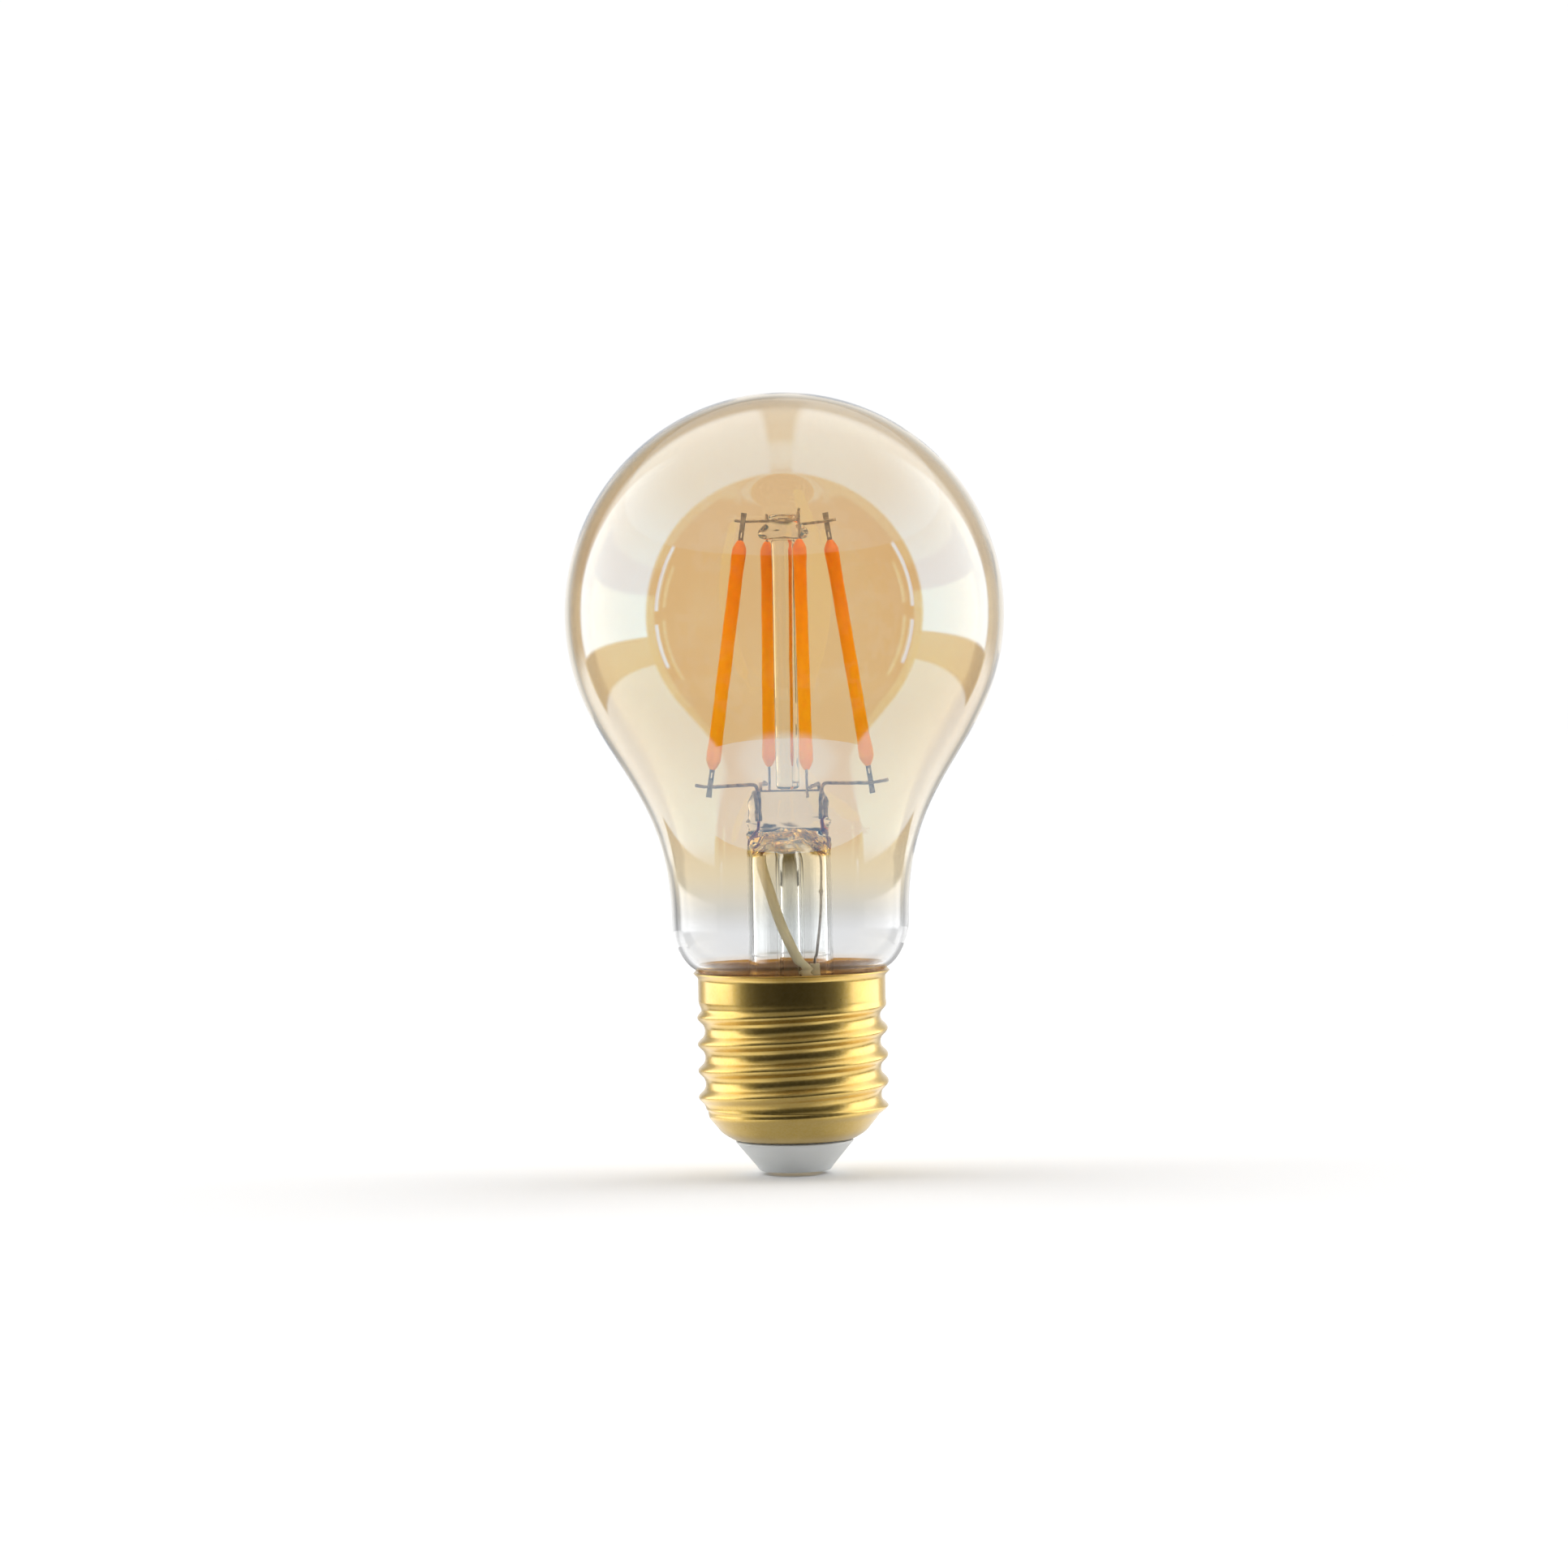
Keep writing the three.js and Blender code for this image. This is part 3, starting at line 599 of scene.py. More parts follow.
def press_shift(p):
    """Folds of the squeezed glass, and the dimple of the exhaust hole."""
    fold = ramp(p.z, 43.2, 45.2) * (1 - ramp(p.z, 47.5, 49.5))
    q = Vector((p.x * 0.35, p.y * 0.2, p.z * 0.9))
    wave = noise.noise(q * 1.3) * 0.45 + noise.noise(q * 3.1) * 0.18
    lump = noise.noise(Vector((p.x * 0.4, p.y * 0.4, p.z * 0.5))) * 0.12 * ramp(p.z, 43, 46)
    outward = Vector((p.x * 0.5, p.y, 0)).normalized()
    hole = math.hypot(p.x - 0.1, p.z - HOLE_Z) / 0.75
    dent = -0.7 * math.exp(-hole * hole) * (1 if abs(p.x) < 3 else 0)
    return outward * (fold * wave + lump + dent) + Vector((0, 0, fold * wave * 0.5))


def stem_foot():
    """Flare tube and press in one: glass that is squeezed flat round the leads."""
    tube_low, tube_high, edge_z = 29.5, 43, PRESS_TOP_Z - 0.3
    flare = smooth_profile([(9.85, 20.6), (7.9, 21.5), (6.6, 23), (6.0, 25), (FLARE_R, 27.5)])
    outer = [stem_ring(z, r, r, 2) for r, z in flare]
    for z in (tube_low + (edge_z - tube_low) * i / 70 for i in range(71)):
        squeeze = ramp(z, *SQUEEZE_Z)
        half_x = (FLARE_R + 0.1 * math.sin(z * 2) * squeeze - 0.25 * squeeze
                  - 0.55 * ramp(z, *TAPER_Z))
        half_y = FLARE_R + (PRESS_HALF_DEPTH - FLARE_R) * squeeze
        outer.append(stem_ring(z, half_x, half_y, 2 + 1.6 * squeeze, shift=press_shift))
    for shrink, rise in ((0.97, 0.18), (0.9, 0.28), (0.7, 0.3), (0.4, 0.3)):
        outer.append(stem_ring(edge_z + rise, 5.0 * shrink, PRESS_HALF_DEPTH * shrink, 3.6))
    outer.append([(0, 0, PRESS_TOP_Z)])
    inner = [stem_ring(z, r - FLARE_WALL, r - FLARE_WALL, 2) for r, z in flare]
    bore = FLARE_R - FLARE_WALL
    for i in range(30):
        inner.append(stem_ring(tube_low + (tube_high - tube_low) * i / 29, bore, bore, 2))
    for i in range(1, 22):
        angle = i / 22 * math.pi / 2
        shrink = math.cos(angle)
        z = tube_high + 3.4 * math.sin(angle)
        flat = ramp(z, tube_high, 46.5)

        def crumple(p):
            q = Vector((p.x * 0.55, p.y * 0.9, p.z * 0.5))
            return Vector((0, 0, (noise.noise(q) * 1.5 + noise.noise(q * 2.7) * 0.5) * flat))

        inner.append(stem_ring(z, bore * (0.25 + 0.75 * shrink),
                               bore * shrink * (1 - 0.45 * flat) + 0.02, 2, shift=crumple))
    inner.append([(0, 0, 46.2)])
    verts, faces = skin([*inner[::-1], *outer])
    piece("stem_foot", verts, faces, "clear_glass", ["flare_tube", "stem_press"])


def exhaust_tube():
    """The hollow tube inside the flare, melted shut at its lower end."""
    bore = TUBE_R - TUBE_WALL
    outer = smooth_profile([(0, TUBE_TIP_Z), (0.8, TUBE_TIP_Z + 0.3), (1.6, TUBE_TIP_Z + 1.2),
                            (TUBE_R, TUBE_TIP_Z + 2.4), (TUBE_R, TUBE_TIP_Z + 5)], 5)
    straight = (30, 38, TUBE_TOP_Z - 0.3)
    outer += [(TUBE_R, z) for z in straight]
    outer.append((TUBE_R - 0.1, TUBE_TOP_Z))
    inner = [(bore + 0.1, TUBE_TOP_Z)]
    inner += [(bore, z) for z in reversed(straight)]
    inner += [(bore, TUBE_TIP_Z + 4), (bore * 0.6, TUBE_TIP_Z + 2.6), (0, TUBE_TIP_Z + 2.2)]
    verts, faces = lathe([*outer, *inner], 48)
    piece("exhaust_tube_glass", verts, faces, "clear_glass", ["exhaust_tube"])


def stem_rod():
    """A drawn rod with faint ripples, thicker where it enters the button."""
    def ripple(t, z):
        return 0.02 * noise.noise(Vector((math.cos(t), math.sin(t), z * 0.3)))

    low, even_low, even_high = PRESS_TOP_Z + 0.06, 53.4, 85.4
    profile = [(0, low), (1.0, low), (1.4, low + 0.12), (ROD_R, low + 0.5)]
    profile += [(ROD_R, even_low + (even_high - even_low) * i / 60) for i in range(61)]
    profile += [(1.65, 85.9), (1.55, BUTTON_BOTTOM_Z - 0.1), (0, BUTTON_BOTTOM_Z - 0.05)]
    verts, faces = lathe(profile, 48, ripple)
    piece("stem_rod_glass", verts, faces, "clear_glass", ["stem_rod"])


def stem_button():
    """The button: a short core with a drooping skirt, thicker on the sides where wires enter."""
    low, high = BUTTON_BOTTOM_Z, BUTTON_TOP_Z

    def lumps(t, z):
        skirt = 1 - ramp(z, low + 1.2, low + 2.4)
        wavy = 0.16 * math.cos(2 * t + 0.3) + 0.12 * math.cos(3 * t + 1.1)
        lump = noise.noise(Vector((math.cos(t) * 2, math.sin(t) * 2, z)))
        return skirt * wavy - 0.12 + 0.08 * lump

    profile = smooth_profile([(0, low), (1.7, low), (2.6, low + 0.02), (3.15, low + 0.25),
                              (3.4, low + 0.8), (3.2, low + 1.4), (2.6, low + 2.1),
                              (2.15, low + 2.7), (2.05, high - 0.3), (1.85, high - 0.06),
                              (1.2, high), (0, high - 0.02)], 5)
    profile[0], profile[-1] = (0, low), (0, high)
    verts, faces = lathe(profile, 64, lumps)
    piece("stem_button_glass", verts, faces, "clear_glass", ["stem_button"])


# ---------- filaments ----------
def polar(radius, azimuth, z):
    """A point from its radius, azimuth in degrees and height."""
    angle = math.radians(azimuth)
    return Vector((radius * math.cos(angle), radius * math.sin(angle), z))


class Stance:
    """Where one filament stands: its foot, and its radial, tangential and long directions."""

    def __init__(self, foot_azimuth, head_azimuth, foot_r, head_r):
        self.foot = polar(foot_r, foot_azimuth, BODY_BOTTOM_Z)
        head = polar(head_r, head_azimuth, BODY_BOTTOM_Z + BODY_LENGTH)
        self.along = (head - self.foot).normalized()
        middle = polar(1, (foot_azimuth + head_azimuth) / 2, 0)
        self.tangent = self.along.cross(middle).normalized()
        self.radial = self.tangent.cross(self.along)

    def at(self, x, y, z):
        return self.foot + self.radial * x + self.tangent * y + self.along * z

    def weld(self, top, side, radius, beyond=0.0):
        """Where a wire on one side of the tab crosses it, or a place beyond that."""
        offset = side * (TAB_THICKNESS / 2 + radius)
        return self.at(beyond, offset, BODY_LENGTH + TOP_WELD if top else -BOTTOM_WELD)


STANCE = {side: Stance(*place) for side, place in ARRAY.items()}


def phosphor_body(side, stance):
    """Silicone round the strip: an even rod with fatter, tapering ends."""
    seed = sum(map(ord, side))
    profile = smooth_profile([(0, -0.1), (0.35, -0.08), (0.62, 0.3), (0.95, 1.0), (BODY_BULGE, 1.6),
                              (BODY_BULGE, 2.2), (0.96, 3.0), (BODY_R, 4.0)], 5)
    middle = [(BODY_R, 4 + (BODY_LENGTH - 8) * i / 40) for i in range(1, 40)]
    top = [(r, BODY_LENGTH - z) for r, z in reversed(profile)]
    rings = []
    for r, z in [*profile, *middle, *top]:
        if r == 0:
            rings.append([stance.at(0, 0, z)])
            continue
        ring = []
        for i in range(28):
            t = 2 * math.pi * i / 28
            lump = noise.noise(Vector((math.cos(t) * 0.8, math.sin(t) * 0.8 + seed, z * 0.45)))
            rr = r + 0.05 * lump * min(1, r)
            ring.append(stance.at(rr * math.cos(t), rr * math.sin(t) * 0.94, z))
        rings.append(ring)
    verts, faces = skin(rings)
    piece(f"filament_{side}_silicone", verts, faces, "phosphor", [f"filament_{side}_phosphor"])


def tab_plate(side, stance, top):
    """A thin stamped tab with a short slot and a slight bow."""
    half, slot_half = TAB_WIDTH / 2, SLOT_WIDTH / 2
    columns = [-half, -slot_half, slot_half, half]
    rows = [-TAB_REACH + (TAB_REACH + SLOT_LOW) * i / 6 for i in range(7)]
    rows += [SLOT_LOW + (SLOT_HIGH - SLOT_LOW) * i / 4 for i in range(1, 5)]
    rows += [-0.1, 0.3, TAB_INSIDE]

    def point(x, z, face):
        wide = 1.12 if z < -TAB_REACH + 0.6 else 1.0
        bow = 0.10 * math.sin((z + TAB_REACH) / TAB_REACH * math.pi) * (1 if top else -1)
        y = face * TAB_THICKNESS / 2 + bow * 0.5
        zz = BODY_LENGTH - z if top else z
        return stance.at(x * wide, y, zz)

    verts, faces, index = [], [], {}
    for face in (-1, 1):
        for r, z in enumerate(rows):
            for c, x in enumerate(columns):
                index[face, r, c] = len(verts)
                verts.append(point(x, z, face))
    filled = {(r, c) for r in range(len(rows) - 1) for c in range(3)}
    filled -= {(r, 1) for r in range(6, 10)}  # the slot
    for face in (-1, 1):
        for r, c in sorted(filled):
            loop = [index[face, r, c], index[face, r, c + 1], index[face, r + 1, c + 1],
                    index[face, r + 1, c]]
            faces.append(tuple(loop if face < 0 else loop[::-1]))
    for r, c in sorted(filled):
        edges = (((r, c), (r, c + 1), (r - 1, c)), ((r, c + 1), (r + 1, c + 1), (r, c + 1)),
                 ((r + 1, c + 1), (r + 1, c), (r + 1, c)), ((r + 1, c), (r, c), (r, c - 1)))
        for a, b, neighbour in edges:
            if neighbour not in filled:
                faces.append((index[-1, *b], index[-1, *a], index[1, *a], index[1, *b]))
    if top:
        faces = [f[::-1] for f in faces]
    end = "top" if top else "bottom"
    piece(f"filament_{side}_{end}_plate", verts, faces, "support_wire",
          [f"filament_{side}_{end}_tab"], smooth=False)


# ---------- wires ----------
def wire(name, path, radius, node, slot="support_wire"):
    verts, faces = sweep(path, radius)
    return piece(name, verts, faces, slot, [node])


def pinched(radius, place):
    """A wire's radius along its length, thinner where it is welded."""
    return lambda s: radius * (1 - PINCH_DEPTH * math.exp(-((s - place) / PINCH_LENGTH) ** 2))


def knotted(radius, place):
    """A wire's radius along its length, thicker at its weld knot."""
    return lambda s: radius * (1 + KNOT_HEIGHT * math.exp(-((s - place) / KNOT_LENGTH) ** 2))


ARMS = {  # x, y of the lead, side of the tab, reach beyond it
    "left": (LEAD_LEFT - 0.2, -0.35, -1, 2.0),
    "back": (LEAD_LEFT + 0.2, 0.35, 1, 1.2),
    "right": (LEAD_RIGHT + 0.2, 0.35, -1, 2.4),
    "front": (LEAD_RIGHT - 0.2, -0.35, 1, 1.2),
}


def support_wires():
    """From the leads up, out and along to the lower tabs."""
    for side, (x, y, face, beyond) in ARMS.items():
        stance = STANCE[side]
        path = bent_path([(x, y, WELD_Z), (x, y, ARM_Z), stance.weld(False, face, ARM_R),
                          stance.weld(False, face, ARM_R, beyond)], 0.9, steps=8, spacing=0.4)
        path = [p + Vector((noise.noise(p * 0.8) * 0.06, 0, noise.noise(p * 0.8 + p) * 0.06))
                for p in path]
        wire(f"support_arm_{side}", path, pinched(ARM_R, 1 - beyond / 15), f"inner_lead_{side}")


def leads():
    """Copper-coated pieces in the press, and outer wires with knots and sleeves below it."""
    joint_left, joint_right = (-4.05, 0, 43.9), (4.35, 0, 43.5)
    dumet = {
        "left": [(LEAD_LEFT, 0, 48.4), (LEAD_LEFT - 0.1, 0, 46.8), (LEAD_LEFT - 0.45, 0, 45.4),
                 joint_left],
        "right": [(LEAD_RIGHT, 0, 48.4), (LEAD_RIGHT, 0, 46.8), (LEAD_RIGHT + 0.15, 0, 45.4),
                  joint_right],
    }
    outer = {
        "left": [(-4.05, -0.1, 43.9), (-3.55, -1.25, 41.5), (-2.75, -2.3, 38.8),
                 (-1.15, -3.1, 33.7), (0.8, -3.2, 29.2), (2, -3.3, 27.1), (3.4, -4.6, 21),
                 (3.8, -5, 17), (3.8, -5, 13.8)],
        "right": [joint_right, (4.4, 0, 41.5), (4.3, 0, 38.2), (4.1, -0.2, 34.7),
                  (3.55, -0.4, 30), (3.2, -0.5, 28.2), (3.6, -0.7, 24), (5.2, -0.8, 20),
                  (5.6, -0.8, 17), (5.6, -0.8, 13.8)],
    }
    knot_z = {"left": 38.85, "right": 38.2}
    span = {"left": (0.04, 0.94), "right": (0.56, 0.92)}  # the sleeved part of each lead
    lead_metal = nickel("lead_wire", (0.14, 0.11, 0.085), (0.27, 0.22, 0.17))
    for side in ("left", "right"):
        wire(f"copper_lead_{side}", smooth_path(dumet[side]), DUMET_R, f"dumet_{side}",
             "copper_wire")
        path = smooth_path(outer[side], 16)
        last = len(path) - 1
        knot = min(range(len(path)), key=lambda i: abs(path[i].z - knot_z[side])) / last
        lead = wire(f"nickel_lead_{side}", path, knotted(OUTER_R, knot), f"outer_lead_{side}")
        lead.data.materials[0] = lead_metal
        low, high = (round(part * last) for part in span[side])
        verts, faces = sweep(path[low:high + 1], SLEEVE_R, 20, SLEEVE_BORE)
        piece(f"insulating_sleeve_{side}", verts, faces, "sleeve", [f"lead_sleeve_{side}"])


def top_wires():
    """Two wires through the button. Each joins the upper tabs of two filaments."""
    routes = {"left_front": ("left", "front", 88.9, -1.1, 1.3, False),
              "back_right": ("back", "right", 88.3, 1.1, 0.5, True)}
    for name, (first, last, z, corner_at, curl, curl_first) in routes.items():
        start = STANCE[first].weld(True, -1, TOP_WIRE_R, 1.1)
        finish = STANCE[last].weld(True, -1, TOP_WIRE_R, 1.2)
        (start if curl_first else finish).z += curl
        path = bent_path([start, STANCE[first].weld(True, -1, TOP_WIRE_R),
                          (corner_at, corner_at, z), STANCE[last].weld(True, -1, TOP_WIRE_R),
                          finish], 0.7, spacing=0.4)
        wire(f"button_wire_{name}", path, TOP_WIRE_R, f"top_wire_{name}")


# ---------- screw cap ----------
def thread_offset(azimuth, z):
    """The thread's change of radius: round crests, wider roots, fading out at both ends."""
    turn = 2 * math.pi * ((z - FIRST_CREST_Z) / PITCH - (azimuth - math.pi) / (2 * math.pi))
    wave = math.cos(turn) + 0.18 * (math.cos(2 * turn) - 1)
    fade = (ramp(z, THREAD_BOTTOM_Z, THREAD_BOTTOM_Z + 1.8)
            * (1 - ramp(z, THREAD_TOP_Z - 2.2, THREAD_TOP_Z)))
    from_crest = abs((turn / (2 * math.pi) + 0.5) % 1 - 0.5) * PITCH
    score = SCORE_DEPTH * math.exp(-((from_crest - SCORE_AT) / SCORE_WIDTH) ** 2)
    return fade * (wave * (CREST_R - ROOT_R) / 2 - score)


def shell_outline(step):
    """The shell's outline without its thread."""
    bowl_r, bowl_z = 12.3, 8.5  # where the rounded foot ends
    outline = smooth_profile([(8.15, CAP_BOTTOM_Z), (8.7, 4.65), (9.85, 5.4), (10.8, 6.5),
                              (11.7, 7.6), (bowl_r, bowl_z)], 5)
    rows = round((THREAD_TOP_Z - bowl_z) / step)
    middle = (CREST_R + ROOT_R) / 2
    for i in range(1, rows + 1):
        z = bowl_z + (THREAD_TOP_Z - bowl_z) * i / rows
        grown = middle + (COLLAR_R - middle) * ramp(z, 21, THREAD_TOP_Z)
        outline.append((min(grown, bowl_r + (z - bowl_z)), z))
    outline += [(COLLAR_R, z) for z in (24.2, 25, 25.8, 26.3)]
    outline += smooth_profile([(COLLAR_R, 26.55), (COLLAR_R + 0.12, 26.8), (13.2, 27.05),
                               (LIP_R - 0.04, LIP_Z - 0.02)], 4)
    return outline


def cap_shell():
    """Thin brass sheet with the rolled thread and a slightly wavy flared lip."""
    def wavy(t, z):
        dent = 0.05 * noise.noise(Vector((math.cos(t) * 3, math.sin(t) * 3, 1))) - 0.02
        return thread_offset(t, z) + ramp(z, 26.6, LIP_Z) * dent

    outline = shell_outline(PITCH / 44)
    inner = inset(shell_outline(PITCH / 20), SHEET)
    verts, faces = lathe([*inner[::-1], *outline], 192, wavy, closed=True)
    piece("brass_shell", verts, faces, "brass_cap", ["cap_shell"])


def cap_fittings():
    """The ring of cement in the lip, the insulator cone and the centre contact."""
    cement_profile = [(11.6, 21.6), (12.2, 24.2), (12.45, 24.6), (12.45, 26.5), (12.7, 26.98),
                      (12.95, 27.2), (12.8, 27.26), (12.4, 27.15), (12.27, 26.9), (12.08, 25.6)]

    def grit(t, z):
        return 0.04 * noise.noise(Vector((math.cos(t) * 14, math.sin(t) * 14, z * 3)))

    verts, faces = lathe(cement_profile, 160, grit, closed=True)
    piece("cement_ring", verts, faces, "cement", ["cap_cement"])
    (foot_r, foot_z), (head_r, head_z) = (5.3, 0.75), (8.05, 4.05)
    cone = smooth_profile([(3.95, 0.6), (4.05, 0.3), (4.2, 0.12), (4.7, 0.1), (5.0, 0.32),
                           (foot_r, foot_z)], 4)
    cone += [(foot_r + (head_r - foot_r) * i / 12, foot_z + (head_z - foot_z) * i / 12)
             for i in range(1, 13)]
    cone += smooth_profile([(8.03, 4.2), (7.6, 4.38), (7.5, 4.95), (8.6, 5.55), (9.3, 6.2),
                            (9.3, 7)], 3)
    profile = [(1.3, 0.6), *cone, (3, 7), (2.6, 5.4), (1.3, 5.4)]
    verts, faces = lathe(profile, 128, closed=True)
    piece("insulator_cone", verts, faces, "insulator", ["cap_insulator"])
    contact = [(0, 0), *smooth_profile([(3.2, 0.0), (3.55, 0.04), (3.74, 0.2), (3.6, 0.4),
                                        (3.4, 0.5)], 4)]
    contact += [(1, 0.5), (0.95, 0.7), (0.9, 4.5), (0.7, 4.6), (0, 4.6)]
    verts, faces = lathe(contact, 96)
    disc = piece("contact_disc", verts, faces, "brass_cap", ["centre_contact"])
    disc.data.materials[0] = darkened_contact()


# ---------- CAD nodes that stay ----------
def finish_cad_nodes():
    """Gives each CAD node the finish of its slot."""
    for entry in frame["record"]["subparts"]:
        materials = frame["nodes"][entry["node"]].data.materials
        materials.clear()
        materials.append(FINISH[entry["material_slot"]])


# ---------- stage ----------
FLOOR_Z = -0.4
PLAIN_WHITE = 1.02  # what straight rays meet round the lamp
INNER_GLASS = 4.5  # rays with a higher transmission depth have passed the glass of the stem
FLOOR_GOLD, BACKDROP_GOLD = (0.22, 0.16, 0.05), (1.0, 0.80, 0.30)  # painted gold glow, seen through the stem only, that gives its glass gold glints
WHITE = (1.0, 1.0, 1.0)
TABLE, TABLE_BEHIND, CEILING, SOFT_BOX = 1.35, 0.5, 1.3, 2.65  # brightness of what is mirrored
WALL, WALL_LEFT, WALL_RIGHT = 1.0, 0.26, 0.5
BAND, SLIT, DARK_ROOM, WINDOW_LINES = 0.22, 0.25, 0.03, 2.6
ROOM_ANGLE = 77.0  # half the width of the room in front, in degrees
SKY, SKY_INSIDE = 1.1, 3.0  # light on matt pieces: a share of that outside, a level in the bulb
OVERHEAD = 0.6


def stage():
    """A wide flat white floor. Reflected rays pass it and see the studio."""
    rings = [circle(r, FLOOR_Z, 96) for r in (40, 120, 400, 900, 1600, 2600)]
    verts, faces = skin([[(0, 0, FLOOR_Z)], *rings])
    floor = bare_object("floor", verts, [f[::-1] for f in faces])
    material = bpy.data.materials.new("pale_floor")
    nodes = empty_tree(material)
    matt = nodes.add("ShaderNodeBsdfDiffuse")
    nodes.put((0.93, 0.93, 0.93), matt.inputs["Color"])
    paths = nodes.add("ShaderNodeLightPath").outputs
    deep = nodes.math("GREATER_THAN", paths["Transmission Depth"], INNER_GLASS)
    away = nodes.add("ShaderNodeVectorMath", operation="LENGTH")
    nodes.put(nodes.place(), away.inputs[0])
    # painted glints: the floor glows dark gold near the lamp for rays deep in the stem's glass
    near = nodes.math("MULTIPLY", deep, nodes.step(away.outputs["Value"], 0.08, 0.30, 1, 0))
    glow = nodes.add("ShaderNodeEmission")
    nodes.put(nodes.mix(near, WHITE, FLOOR_GOLD), glow.inputs["Color"])
    seen = nodes.either(nodes.math("MINIMUM", paths["Transmission Depth"], 1.0),
                        matt.outputs[0], glow.outputs[0])
    look = nodes.either(nodes.math("MINIMUM", paths["Glossy Depth"], 1.0), seen,
                        nodes.add("ShaderNodeBsdfTransparent").outputs[0])
    nodes.put(look, nodes.add("ShaderNodeOutputMaterial").inputs["Surface"])
    floor.data.materials.append(material)


def mirrored_studio(nodes, direction, x, y, z):
    """Brightness of the studio that the lamp mirrors, in each direction: a soft box on each side,
    a white table, a pale wall behind and, in front, a dim room."""
    side = nodes.math("ABSOLUTE", x)
    right = nodes.step(x, -0.05, 0.05)
    swing = nodes.math("ARCTAN2", side, y)  # 0 behind the lamp, 90 degrees at its side
    rise = nodes.math("ARCSINE", z)
    behind = nodes.math("ARCCOSINE", y)  # angle from straight behind
    front = nodes.math("SUBTRACT", math.pi, behind)  # angle from the middle of the room
    around = nodes.math("ARCTAN2", z, side)
    deg = math.radians
    times, between, cover = nodes.times, nodes.between, nodes.cover

    wall = nodes.step(behind, deg(14), deg(36), WALL,
                      nodes.step(right, 0, 1, WALL_LEFT, WALL_RIGHT))
    table = nodes.step(behind, deg(22), deg(40), TABLE_BEHIND, TABLE)
    level = cover(table, nodes.step(rise, deg(-12), deg(-4)), wall)
    high = nodes.step(behind, deg(42), deg(50))
    level = cover(level, times(high, nodes.step(rise, deg(-9), deg(-5))), CEILING)
    box = times(between(swing, 46, 109, 1.5), between(rise, -8.5, 75, 0.8))
    level = cover(level, box, nodes.step(rise, deg(10), deg(58), SOFT_BOX, CEILING))
    band = times(between(swing, 43, 113, 1.5), between(rise, -20, -8.5, 0.8))
    level = cover(level, band, BAND)  # the dark band under each box
    slit = times(nodes.step(side, 0.05, 0.10, 1, 0), nodes.step(z, 0.5, 0.6),
                 nodes.step(z, 0.97, 1.0, 1, 0.3))
    level = cover(level, times(slit, 0.75), SLIT)  # the gap between the boxes overhead
    room = times(nodes.step(front, deg(ROOM_ANGLE - 1), deg(ROOM_ANGLE + 1.2), 1, 0),
                 nodes.step(rise, deg(-63), deg(-59)))
    level = cover(level, room, room_clutter(nodes, direction, front))
    lines = times(between(front, 69.2, 71.3, 0.3),
                  nodes.math("SUBTRACT", between(around, -24, 32, 1), between(around, -4, 2, 0.5)))
    return cover(level, lines, WINDOW_LINES)  # two bright edges of the room


def room_clutter(nodes, direction, front):
    """Faint blocky shapes in the dim room, away from its middle."""
    shape = nodes.add("ShaderNodeTexVoronoi", distance="CHEBYCHEV")
    nodes.put(direction, shape.inputs["Vector"])
    shape.inputs["Scale"].default_value = 7.0
    blocks = nodes.step(shape.outputs["Distance"], 0.34, 0.4, 0.0, 0.10)
    cloud = nodes.add("ShaderNodeTexNoise")
    cloud.inputs["Scale"].default_value = 3.0
    blocks = nodes.times(blocks, nodes.step(cloud.outputs["Fac"], 0.45, 0.6))
    outer = nodes.step(front, math.radians(20), math.radians(45))
    return nodes.math("ADD", nodes.times(blocks, outer), DARK_ROOM)


def stem_backdrop(nodes, x, y, above):
    """Strips that only the glass of the stem refracts. They give it its outlines."""
    turned = nodes.math("ARCTAN2", x, nodes.math("ABSOLUTE", y))
    wide = nodes.step(nodes.math("ABSOLUTE", turned), math.radians(62), math.radians(68))
    level = nodes.cover(PLAIN_WHITE, nodes.between(turned, -52, -40, 2), 0.30)
    level = nodes.cover(level, nodes.between(turned, 46, 60, 2), 1.9)
    level = nodes.cover(level, wide, 0.42)
    return nodes.cover(level, above, 0.22)


def studio():
    """Mirror rays meet the studio. Straight rays meet plain white or the stem's strips."""
    world = bpy.data.worlds.new("studio")
    bpy.context.scene.world = world
    world.cycles.sampling_method = "NONE"
    nodes = empty_tree(world)
    direction = nodes.add("ShaderNodeTexCoord").outputs["Generated"]
    split = nodes.add("ShaderNodeSeparateXYZ")
    nodes.put(direction, split.inputs[0])
    x, y, z = split.outputs
    mirror = mirrored_studio(nodes, direction, x, y, z)

    paths = nodes.add("ShaderNodeLightPath").outputs
    mirrored = nodes.math("MINIMUM", paths["Glossy Depth"], 1.0)
    scattered = nodes.math("MINIMUM", paths["Diffuse Depth"], 1.0)
    inside = nodes.math("MINIMUM", nodes.times(scattered, paths["Transmission Depth"]), 1.0)
    deep = nodes.math("GREATER_THAN", paths["Transmission Depth"], INNER_GLASS)
    above = nodes.step(nodes.math("ARCSINE", z), math.radians(9), math.radians(20))

    fill = nodes.cover(nodes.times(mirror, SKY), inside, SKY_INSIDE)
    straight = nodes.cover(PLAIN_WHITE, deep, stem_backdrop(nodes, x, y, above))
    plain = nodes.cover(straight, scattered, fill)
    only_mirrored = nodes.times(mirrored, nodes.math("SUBTRACT", 1.0, scattered))
    background = nodes.add("ShaderNodeBackground")
    nodes.put(nodes.cover(plain, only_mirrored, mirror), background.inputs["Strength"])
    # painted glints: the sky above glows gold for rays deep in the stem's glass
    tint = nodes.mix(nodes.times(deep, above), WHITE, BACKDROP_GOLD)
    nodes.put(tint, background.inputs["Color"])
    nodes.put(background.outputs[0], nodes.add("ShaderNodeOutputWorld").inputs["Surface"])


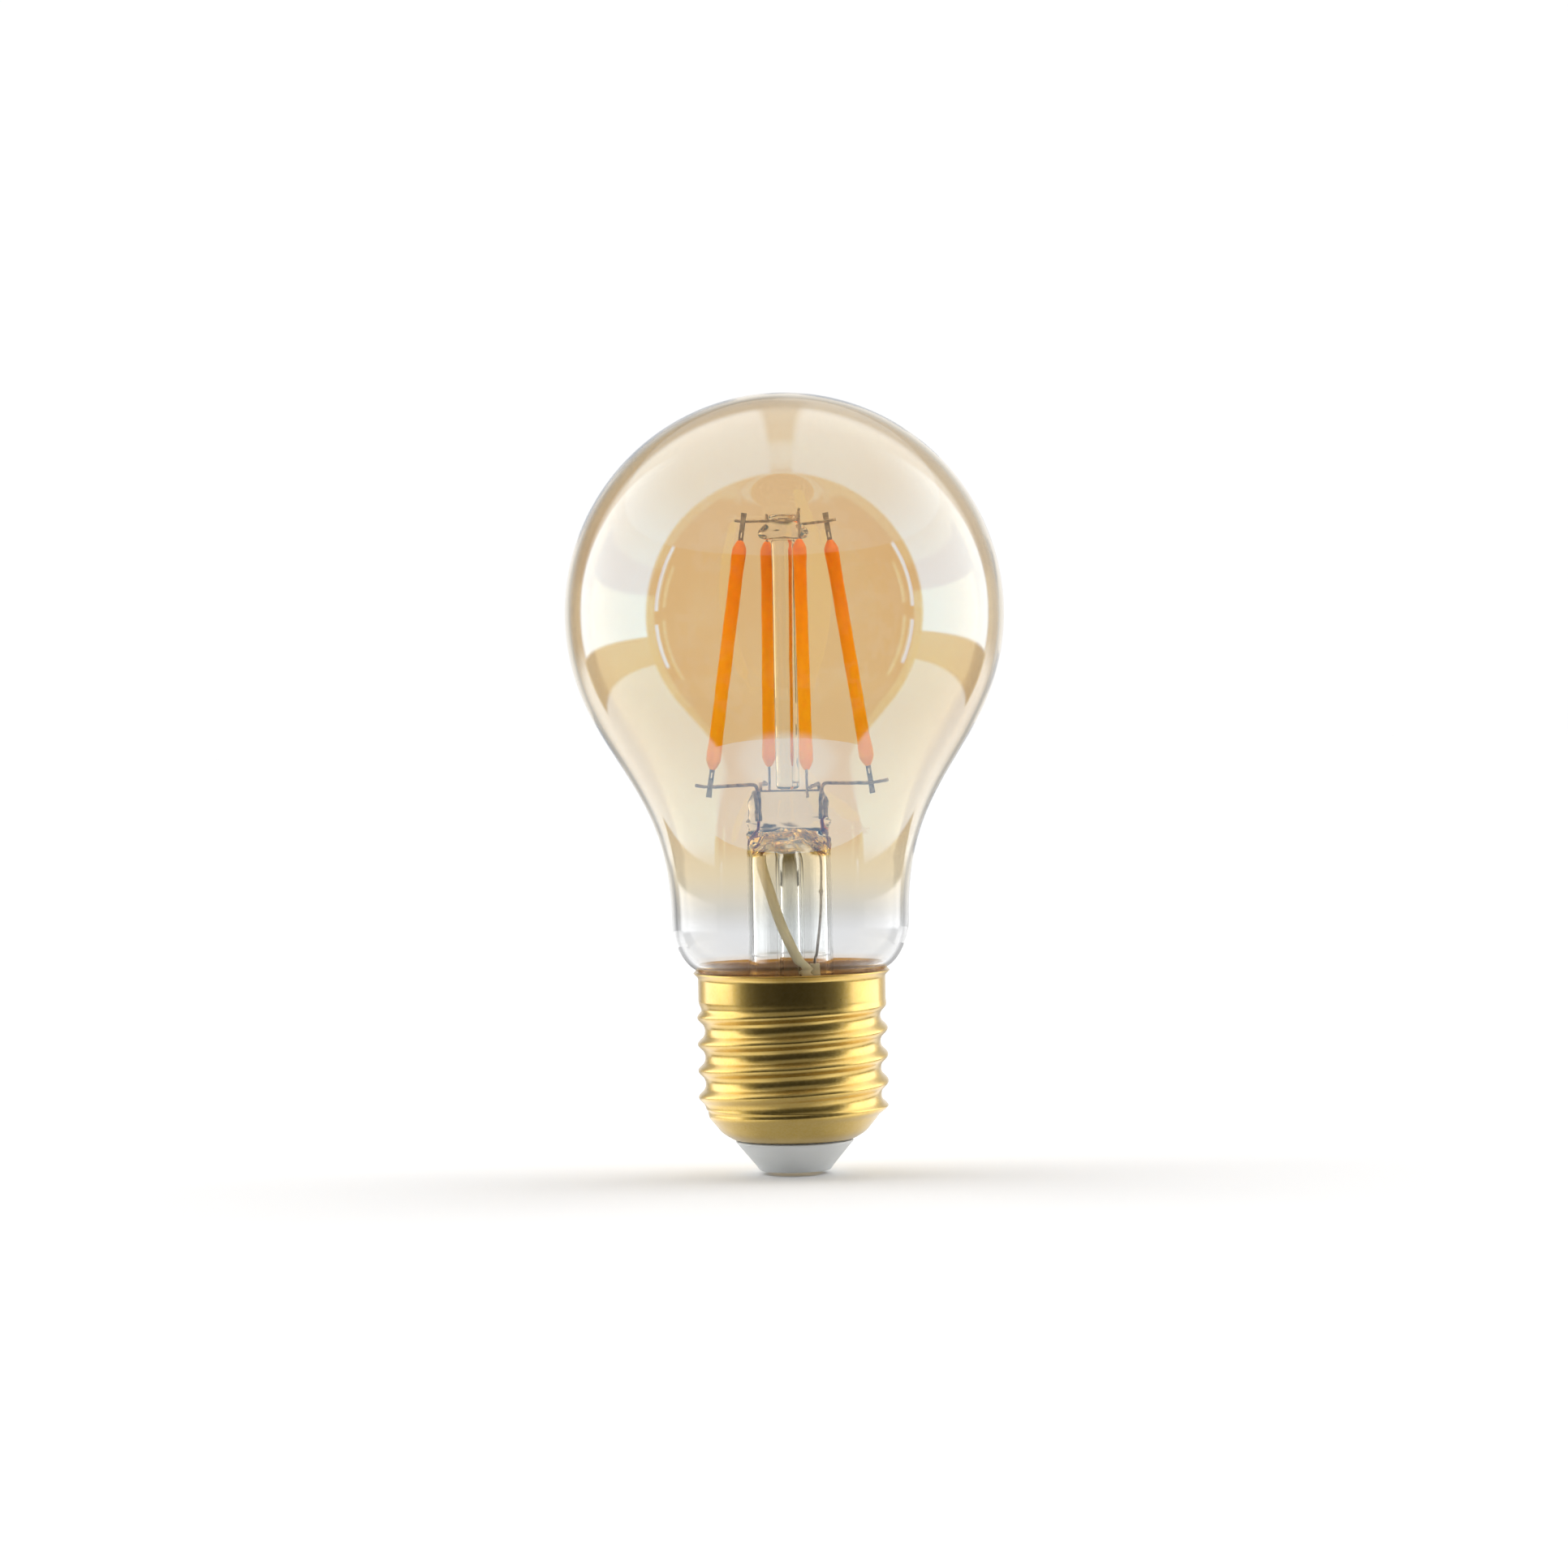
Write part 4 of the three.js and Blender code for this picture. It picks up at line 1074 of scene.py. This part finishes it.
def mirror_card(name, inner_r, outer_r, z, level, side_level):
    """A ring that only mirror reflections can see, from above."""
    card = bare_object(name, *skin([circle(r, z, 64) for r in (outer_r, inner_r)]))
    material = bpy.data.materials.new(name)
    nodes = empty_tree(material)
    glow = nodes.add("ShaderNodeEmission")
    split = nodes.add("ShaderNodeSeparateXYZ")
    nodes.put(nodes.place(), split.inputs[0])
    off_middle = nodes.math("ABSOLUTE", split.outputs["X"])
    nodes.put(nodes.step(off_middle, 4 * MM, 26 * MM, level, side_level), glow.inputs["Strength"])
    look = nodes.either(nodes.add("ShaderNodeNewGeometry").outputs["Backfacing"], glow.outputs[0],
                        nodes.add("ShaderNodeBsdfTransparent").outputs[0])
    nodes.put(look, nodes.add("ShaderNodeOutputMaterial").inputs["Surface"])
    card.data.materials.append(material)
    for seen in ("camera", "diffuse", "transmission", "volume_scatter", "shadow"):
        setattr(card, f"visible_{seen}", False)


def overhead_light():
    """A broad soft light from above, for the shade under the bulb."""
    data = bpy.data.lights.new("overhead", "SUN")
    data.energy, data.angle = OVERHEAD, math.radians(120)
    lamp = bpy.data.objects.new("overhead", data)
    bpy.context.scene.collection.objects.link(lamp)


def camera():
    """A long lens a little above the lamp's middle, tipped because the lamp in the photo leans."""
    data = bpy.data.cameras.new("camera")
    distance, field = 0.70, 0.2144  # metres; the field is the width seen at the lamp
    data.sensor_width = 36
    data.lens = data.sensor_width * distance / field
    data.clip_start, data.clip_end = 0.01, 20
    cam = bpy.data.objects.new("camera", data)
    bpy.context.scene.collection.objects.link(cam)
    pitch, lean = math.radians(1.7), math.radians(1.15)
    aim = Vector((-0.00051, 0, 0.05297))
    cam.location = aim + Vector((0, -math.cos(pitch), math.sin(pitch))) * distance
    upright = (aim - cam.location).to_track_quat("-Z", "Y").to_matrix()
    cam.rotation_euler = (upright @ Matrix.Rotation(-lean, 3, "Z")).to_euler()
    bpy.context.scene.camera = cam


camera()
stage()
studio()
mirror_card("table_edge", 17.5, 41, 30, 1.8, TABLE)
mirror_card("table_shade", 0.01, 42, 0.02, 0.45, 1.5)
overhead_light()
glass_bulb()
stem_foot()
exhaust_tube()
stem_rod()
stem_button()
for side, stance in STANCE.items():
    phosphor_body(side, stance)
    tab_plate(side, stance, top=False)
    tab_plate(side, stance, top=True)
support_wires()
leads()
top_wires()
cap_shell()
cap_fittings()
finish_cad_nodes()

scene = bpy.context.scene
scene.view_settings.view_transform = "Standard"
scene.cycles.max_bounces = 40
scene.cycles.transmission_bounces = 32
scene.cycles.glossy_bounces = 12
scene.cycles.diffuse_bounces = 4
scene.cycles.transparent_max_bounces = 24
